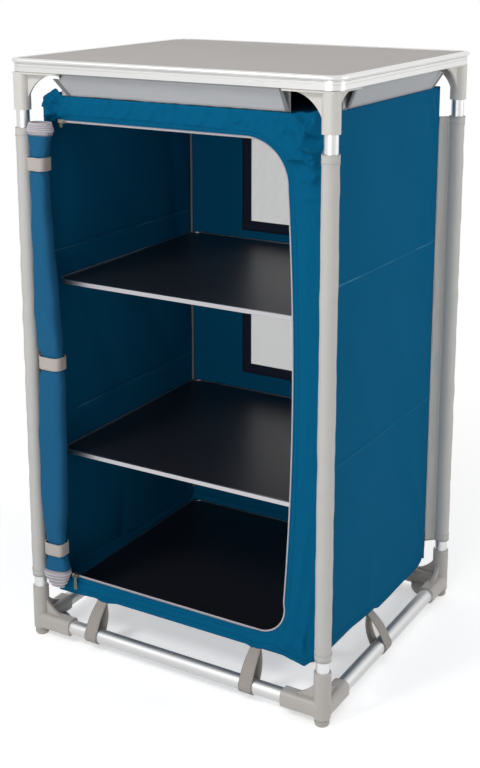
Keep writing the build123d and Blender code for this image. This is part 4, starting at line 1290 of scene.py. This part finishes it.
def zip_spots(line, inward, gap, out):
    """Points beside the zipper's line, on the inner face of the front wall."""
    spots = line + inward * gap
    return np.stack([spots[:, 0], np.full(len(line), -HALF_D + 1.2 * MM - out), spots[:, 1]], 1)


def make_coil(name, path):
    """The zipper's row of teeth along a path."""
    coil = run_tree(name, path_mesh("coil", [path]), RODS,
                    {"Spacing": COIL_PITCH, "Length": COIL, "Radius": COIL_R, "Turn": (math.pi / 2, 0.0, 0.0),
                     "Material": coil_nylon})
    smooth(coil.data)
    return ride(coil)


def make_zipper():
    line, inward = zip_line(3 * MM)
    gaps = np.linspace(-3 * MM, TAPE, 8)
    points = np.stack([zip_spots(line, inward, gap, 0.0) for gap in gaps], 0)
    lengths = run_lengths(line)
    flat = np.stack(np.broadcast_arrays(lengths[None, :], gaps[:, None]), -1)
    tape = sheet_mesh("zip_tape_frame", points, flat, zip_tape)
    hang(tape, (0, -1, 0), "zip_tape", "zipper_track", thickness=0.6 * MM, offset=0.0)
    coil = make_coil("zip_coil_frame", zip_spots(line, inward, TAPE - COIL / 2, 0.6 * MM))


# Rolled-up door
ROLL_TURNS = 5.2
ROLL_ROWS, ROLL_COLUMNS = 150, 200
# Turns past this one stay inside the roll and no longer step up or down at its ends
LAST_STEP = 4.15
ROLL_PITCH = 1.7 * MM
ROLL_START = 0.5 * math.pi
DOOR_TAPE = 5.6 * MM
STRAP_LEVELS = (0.851, 0.515, 0.177)
STRAP_HALF = 11 * MM


def roll_sections():
    """Height, left, right, front and back of the roll at each level where its solid has a full section."""
    spots = np.array([tuple(vertex.co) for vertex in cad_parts["door_roll"].data.vertices])
    levels, counts = np.unique(spots[:, 2].round(4), return_counts=True)
    rows = []
    for z in levels[counts >= 0.5 * np.median(np.sort(counts)[-12:])]:
        level = spots[np.abs(spots[:, 2] - z) < 0.1 * MM]
        rows.append((z, level[:, 0].min(), level[:, 0].max(), level[:, 1].min(), level[:, 1].max()))
    return np.array(rows).T


def roll_ring(angle, z, shrink, square=2.7):
    """Point of the roll's outline at an angle, shrink inside its surface."""
    left, right, front, back = (np.interp(z, ROLL_Z, side) for side in ROLL_SIDES)
    half_x = (right - left) / 2 - shrink
    half_y = (back - front) / 2 - shrink * 0.82
    c, s = np.cos(angle), np.sin(angle)
    x = (left + right) / 2 + half_x * np.sign(c) * np.abs(c) ** (2 / square)
    y = (front + back) / 2 + half_y * np.sign(s) * np.abs(s) ** (2 / square)
    return x, y


def roll_relief(angle, z):
    """Creases of the roll's surface; none under the straps, short pleats beside them."""
    slow = drift(np.cos(angle) * 0.05, z, 0.045, 2.0 * MM, 51.0)
    slow += drift(np.sin(angle) * 0.05, z, 0.09, 1.8 * MM, 57.0)
    near = np.min([np.abs(z - level) for level in STRAP_LEVELS], axis=0)
    free = np.clip((near - STRAP_HALF) / (14 * MM), 0, 1)
    dying = np.exp(-np.maximum(near - STRAP_HALF, 0) / 0.022)
    pleats = 0.8 * MM * np.cos(7 * angle + 9 * np.sin(z * 31)) * dying
    return (slow + pleats) * free - 0.6 * MM


def roll_cloth_points(turn, z, lift=0.0):
    """Points of the rolled door; turn counts from the hinge inwards.

    The turns close to a cone at the bottom and open to a cup at the top. Both ends bulge towards the
    opening, and the first tenth of a turn leads out of the hinge.
    """
    angle = ROLL_START - math.tau * turn
    relief = roll_relief(angle, z)
    below = np.clip((ROLL_LOW.z + 30 * MM - z) / (36 * MM), 0, 1)
    above = np.clip((z - ROLL_HIGH.z + 24 * MM) / (14 * MM), 0, 1)
    shrink = 1.2 * MM + ROLL_PITCH * (turn + np.minimum(turn, LAST_STEP) * (1.15 * below**2 - 0.5 * above))
    x, y = roll_ring(angle, z, shrink)
    out_x, out_y = roll_ring(angle, z, shrink - 1 * MM)
    spread = np.clip((ROLL_LOW.z + 68 * MM - z) / (36 * MM), 0, 1)
    flare = (1.5 + 5.0 * above + 6.5 * spread * spread * (3 - 2 * spread)) * MM * np.clip(np.cos(angle), 0, 1)
    x, out_x = x + flare, out_x + flare
    x = x + (out_x - x) * (relief + lift) / MM
    y = y + (out_y - y) * (relief + lift) / MM
    lead = np.clip(turn / 0.1, 0, 1)
    lead = lead * lead * (3 - 2 * lead)
    low, high = HINGE_SPAN
    start = HINGE_X + 1.5 * MM + 0.3 * np.maximum(np.maximum(low - z, z - high), 0)
    x = start + (x - start) * lead
    y = -HALF_D - 0.8 * MM + (y + HALF_D + 0.8 * MM) * lead
    return np.stack([x, y, z], -1)


def roll_top(turn):
    """Height of the cloth's upper edge, which steps up with each turn."""
    return ROLL_HIGH.z - 18 * MM + 3.2 * MM * np.minimum(turn, LAST_STEP)


def roll_bottom(turn):
    """Height of the cloth's lower edge, which steps down with each turn."""
    turn = np.minimum(turn, LAST_STEP)
    return ROLL_LOW.z + 33 * MM - 5.0 * MM * turn - 0.45 * MM * turn**2


def make_roll():
    turn = np.linspace(0, ROLL_TURNS, ROLL_COLUMNS)
    share = np.linspace(0, 1, ROLL_ROWS)
    turn, share = np.meshgrid(turn, share)
    z = roll_bottom(turn) * (1 - share) + roll_top(turn) * share
    points = roll_cloth_points(turn, z)
    lengths = run_lengths(points[ROLL_ROWS // 2])
    flat = np.stack(np.broadcast_arrays(lengths[None, :], z), -1)
    roll = sheet_mesh("rolled_door", points, flat, roll_cloth)
    outer = roll.data.polygons[ROLL_ROWS // 2 * (ROLL_COLUMNS - 1) + ROLL_COLUMNS // 5]
    middle = Vector(((ROLL_LOW.x + ROLL_HIGH.x) / 2, ROLL_Y, outer.center.z))
    if outer.normal.dot(outer.center - middle) < 0:
        roll.data.flip_normals()
    give_thickness(roll, CLOTH)
    ride(roll)
    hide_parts("door_roll")
    for name, edge, way in (("top", roll_top, 1), ("bottom", roll_bottom, -1)):
        around = np.linspace(0.02, ROLL_TURNS, 540)
        up = np.linspace(-3 * MM, DOOR_TAPE, 6)
        cut_t, cut_v = np.meshgrid(around, up)
        spots = roll_cloth_points(cut_t, edge(cut_t) + way * cut_v, 0.35 * MM)
        run = np.interp(cut_t, turn[0], lengths)
        tape = sheet_mesh("door_tape_" + name, spots, np.stack([run, cut_v], -1), zip_tape)
        give_thickness(tape, 0.6 * MM, 0.0)
        ride(tape)
        path = roll_cloth_points(around, edge(around) + way * (DOOR_TAPE - COIL / 2), 0.9 * MM)
        make_coil("door_coil_" + name, path)
        row = roll_cloth_points(around, edge(around) - way * 2 * MM, 0.9 * MM)
        stitches(f"door_{name}_seam", [row], thread_blue)


def make_straps():
    """Elastic straps drawn round the roll."""
    for number, level in enumerate(STRAP_LEVELS):
        angle = np.linspace(0, math.tau, 73)[:-1]
        rows = np.linspace(-STRAP_HALF, STRAP_HALF, 9)
        angle, up = np.meshgrid(angle, rows)
        x, y = roll_ring(angle, np.full_like(up, level), -0.5 * MM, 3.8)
        slump = drift(np.cos(angle) * 0.02, np.sin(angle) * 0.02, 0.012, 0.6 * MM, 61.0 + number)
        points = np.stack([x, y, level + up + slump], -1)
        lengths = run_lengths(points[4])
        flat = np.stack(np.broadcast_arrays(lengths[None, :], up), -1)
        strap = sheet_mesh(f"door_strap_{number}", points, flat, strap_cloth, round_u=True)
        if strap.data.polygons[0].normal.x < 0:
            strap.data.flip_normals()
        give_thickness(strap, WEBBING, 0.0)
        ride(strap)
        if number == 0:
            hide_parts("door_straps")


# Inside the cabinet
def make_shelf_bands():
    """Webbing under the two upper boards, turned up at the side walls."""
    for number, node in enumerate(("shelf_upper_edging", "shelf_lower_edging")):
        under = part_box(node)[0].z
        for side, y in (("front", -120 * MM), ("back", 120 * MM)):
            inner = HALF_W - 2.6 * MM
            low = under - WEBBING / 2
            corner_r = 3 * MM
            half = np.vstack([
                straight((-inner, low + 8 * MM), (-inner, low + corner_r), 1.6 * MM),
                bow((-inner, low + corner_r), (-inner + 0.29 * corner_r, low + 0.29 * corner_r),
                    (-inner + corner_r, low), 0.6 * MM),
                straight((-inner + corner_r, low), (0, low), 8 * MM),
            ])
            path = np.vstack([half, [(0, low)], half[::-1] * (-1, 1)])
            run = unit_rows(np.gradient(path, axis=0))
            spots = np.stack([path[:, 0], np.full(len(path), y), path[:, 1]], 1)
            out = np.stack([run[:, 1], np.zeros(len(path)), -run[:, 0]], 1)
            band = band_along(f"shelf_band_{number}_{side}", spots, out, 30 * MM, WEBBING, body_cloth)
            ride(band)
            if (number, side) == (0, "front"):
                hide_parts("shelf_webbing")


def make_corner_bindings():
    """Light tape that binds the seams of the back corners inside."""
    for name, sign in (("left", -1), ("right", 1)):
        z = np.linspace(FLOOR_Z + 34 * MM, ROOF_Z - 6 * MM, 90)
        sway = drift(z, z * 0, 0.08, 0.8 * MM, 71.0 + sign)
        path = np.stack([sign * (HALF_W - 4.2 * MM) + sway, HALF_D - 4.2 * MM + 0 * z, z], 1)
        out = np.broadcast_to(np.array([-sign, -1, 0]) / math.sqrt(2), path.shape)
        tape = band_along("back_seam_tape_" + name, path, out, 4 * MM, WEBBING, hem_cloth)
        ride(tape)


# Pieces shown as their solids are
def paint(material, *names):
    """Give CAD pieces their finish."""
    for name in names:
        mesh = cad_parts[name].data
        mesh.materials.clear()
        mesh.materials.append(material)


near_edge, far_edge = make_front_wall()
front_seams(near_edge, far_edge)
make_side_wall("right_wall", 1)
make_side_wall("left_wall", -1)
side_seams()
make_back_wall()
make_level_wall("roof_cloth", ROOF_Z - 1 * MM, "panel_roof", 3 * MM, 31.0, (0, 0, 1))
make_floor_tub()
for number, side in enumerate(FLAPS):
    make_flap(side, 81.0 + 7 * number)
for number, corner in enumerate(CORNERS):
    make_sleeve(corner, 101.0 + 11 * number)
make_loops()
make_window("upper_net", NET_LOW, NET_HIGH, "mesh_window_upper")
make_window("lower_net", LOWER_NET_LOW, LOWER_NET_HIGH, "mesh_window_lower")
make_zipper()
ROLL_Z, *ROLL_SIDES = roll_sections()
make_roll()
make_straps()
make_shelf_bands()
make_corner_bindings()

paint(laminate, "table_board")
paint(rim_metal, "table_rim")
paint(screw_steel, "bracket_screws")
paint(ferrule_plastic, "leg_ferrules")
for corner in CORNERS:
    paint(tube_upright, "leg_upper_" + corner, "leg_lower_" + corner)
    paint(bracket_plastic, "top_bracket_" + corner)
    paint(base_plastic, "bottom_bracket_" + corner)
    paint(foot_plastic, "foot_" + corner)
paint(tube_along_x, "base_tube_front", "base_tube_back")
paint(tube_along_y, "base_tube_left", "base_tube_right")
for shelf in ("upper", "lower", "floor"):
    paint(shelf_laminate, f"shelf_{shelf}_board")
    paint(edging_metal, f"shelf_{shelf}_edging")
paint(zip_metal, "zipper_slider_top", "zipper_slider_bottom", "pull_tab_top")
paint(ribbon_cloth, "pull_tab_bottom")
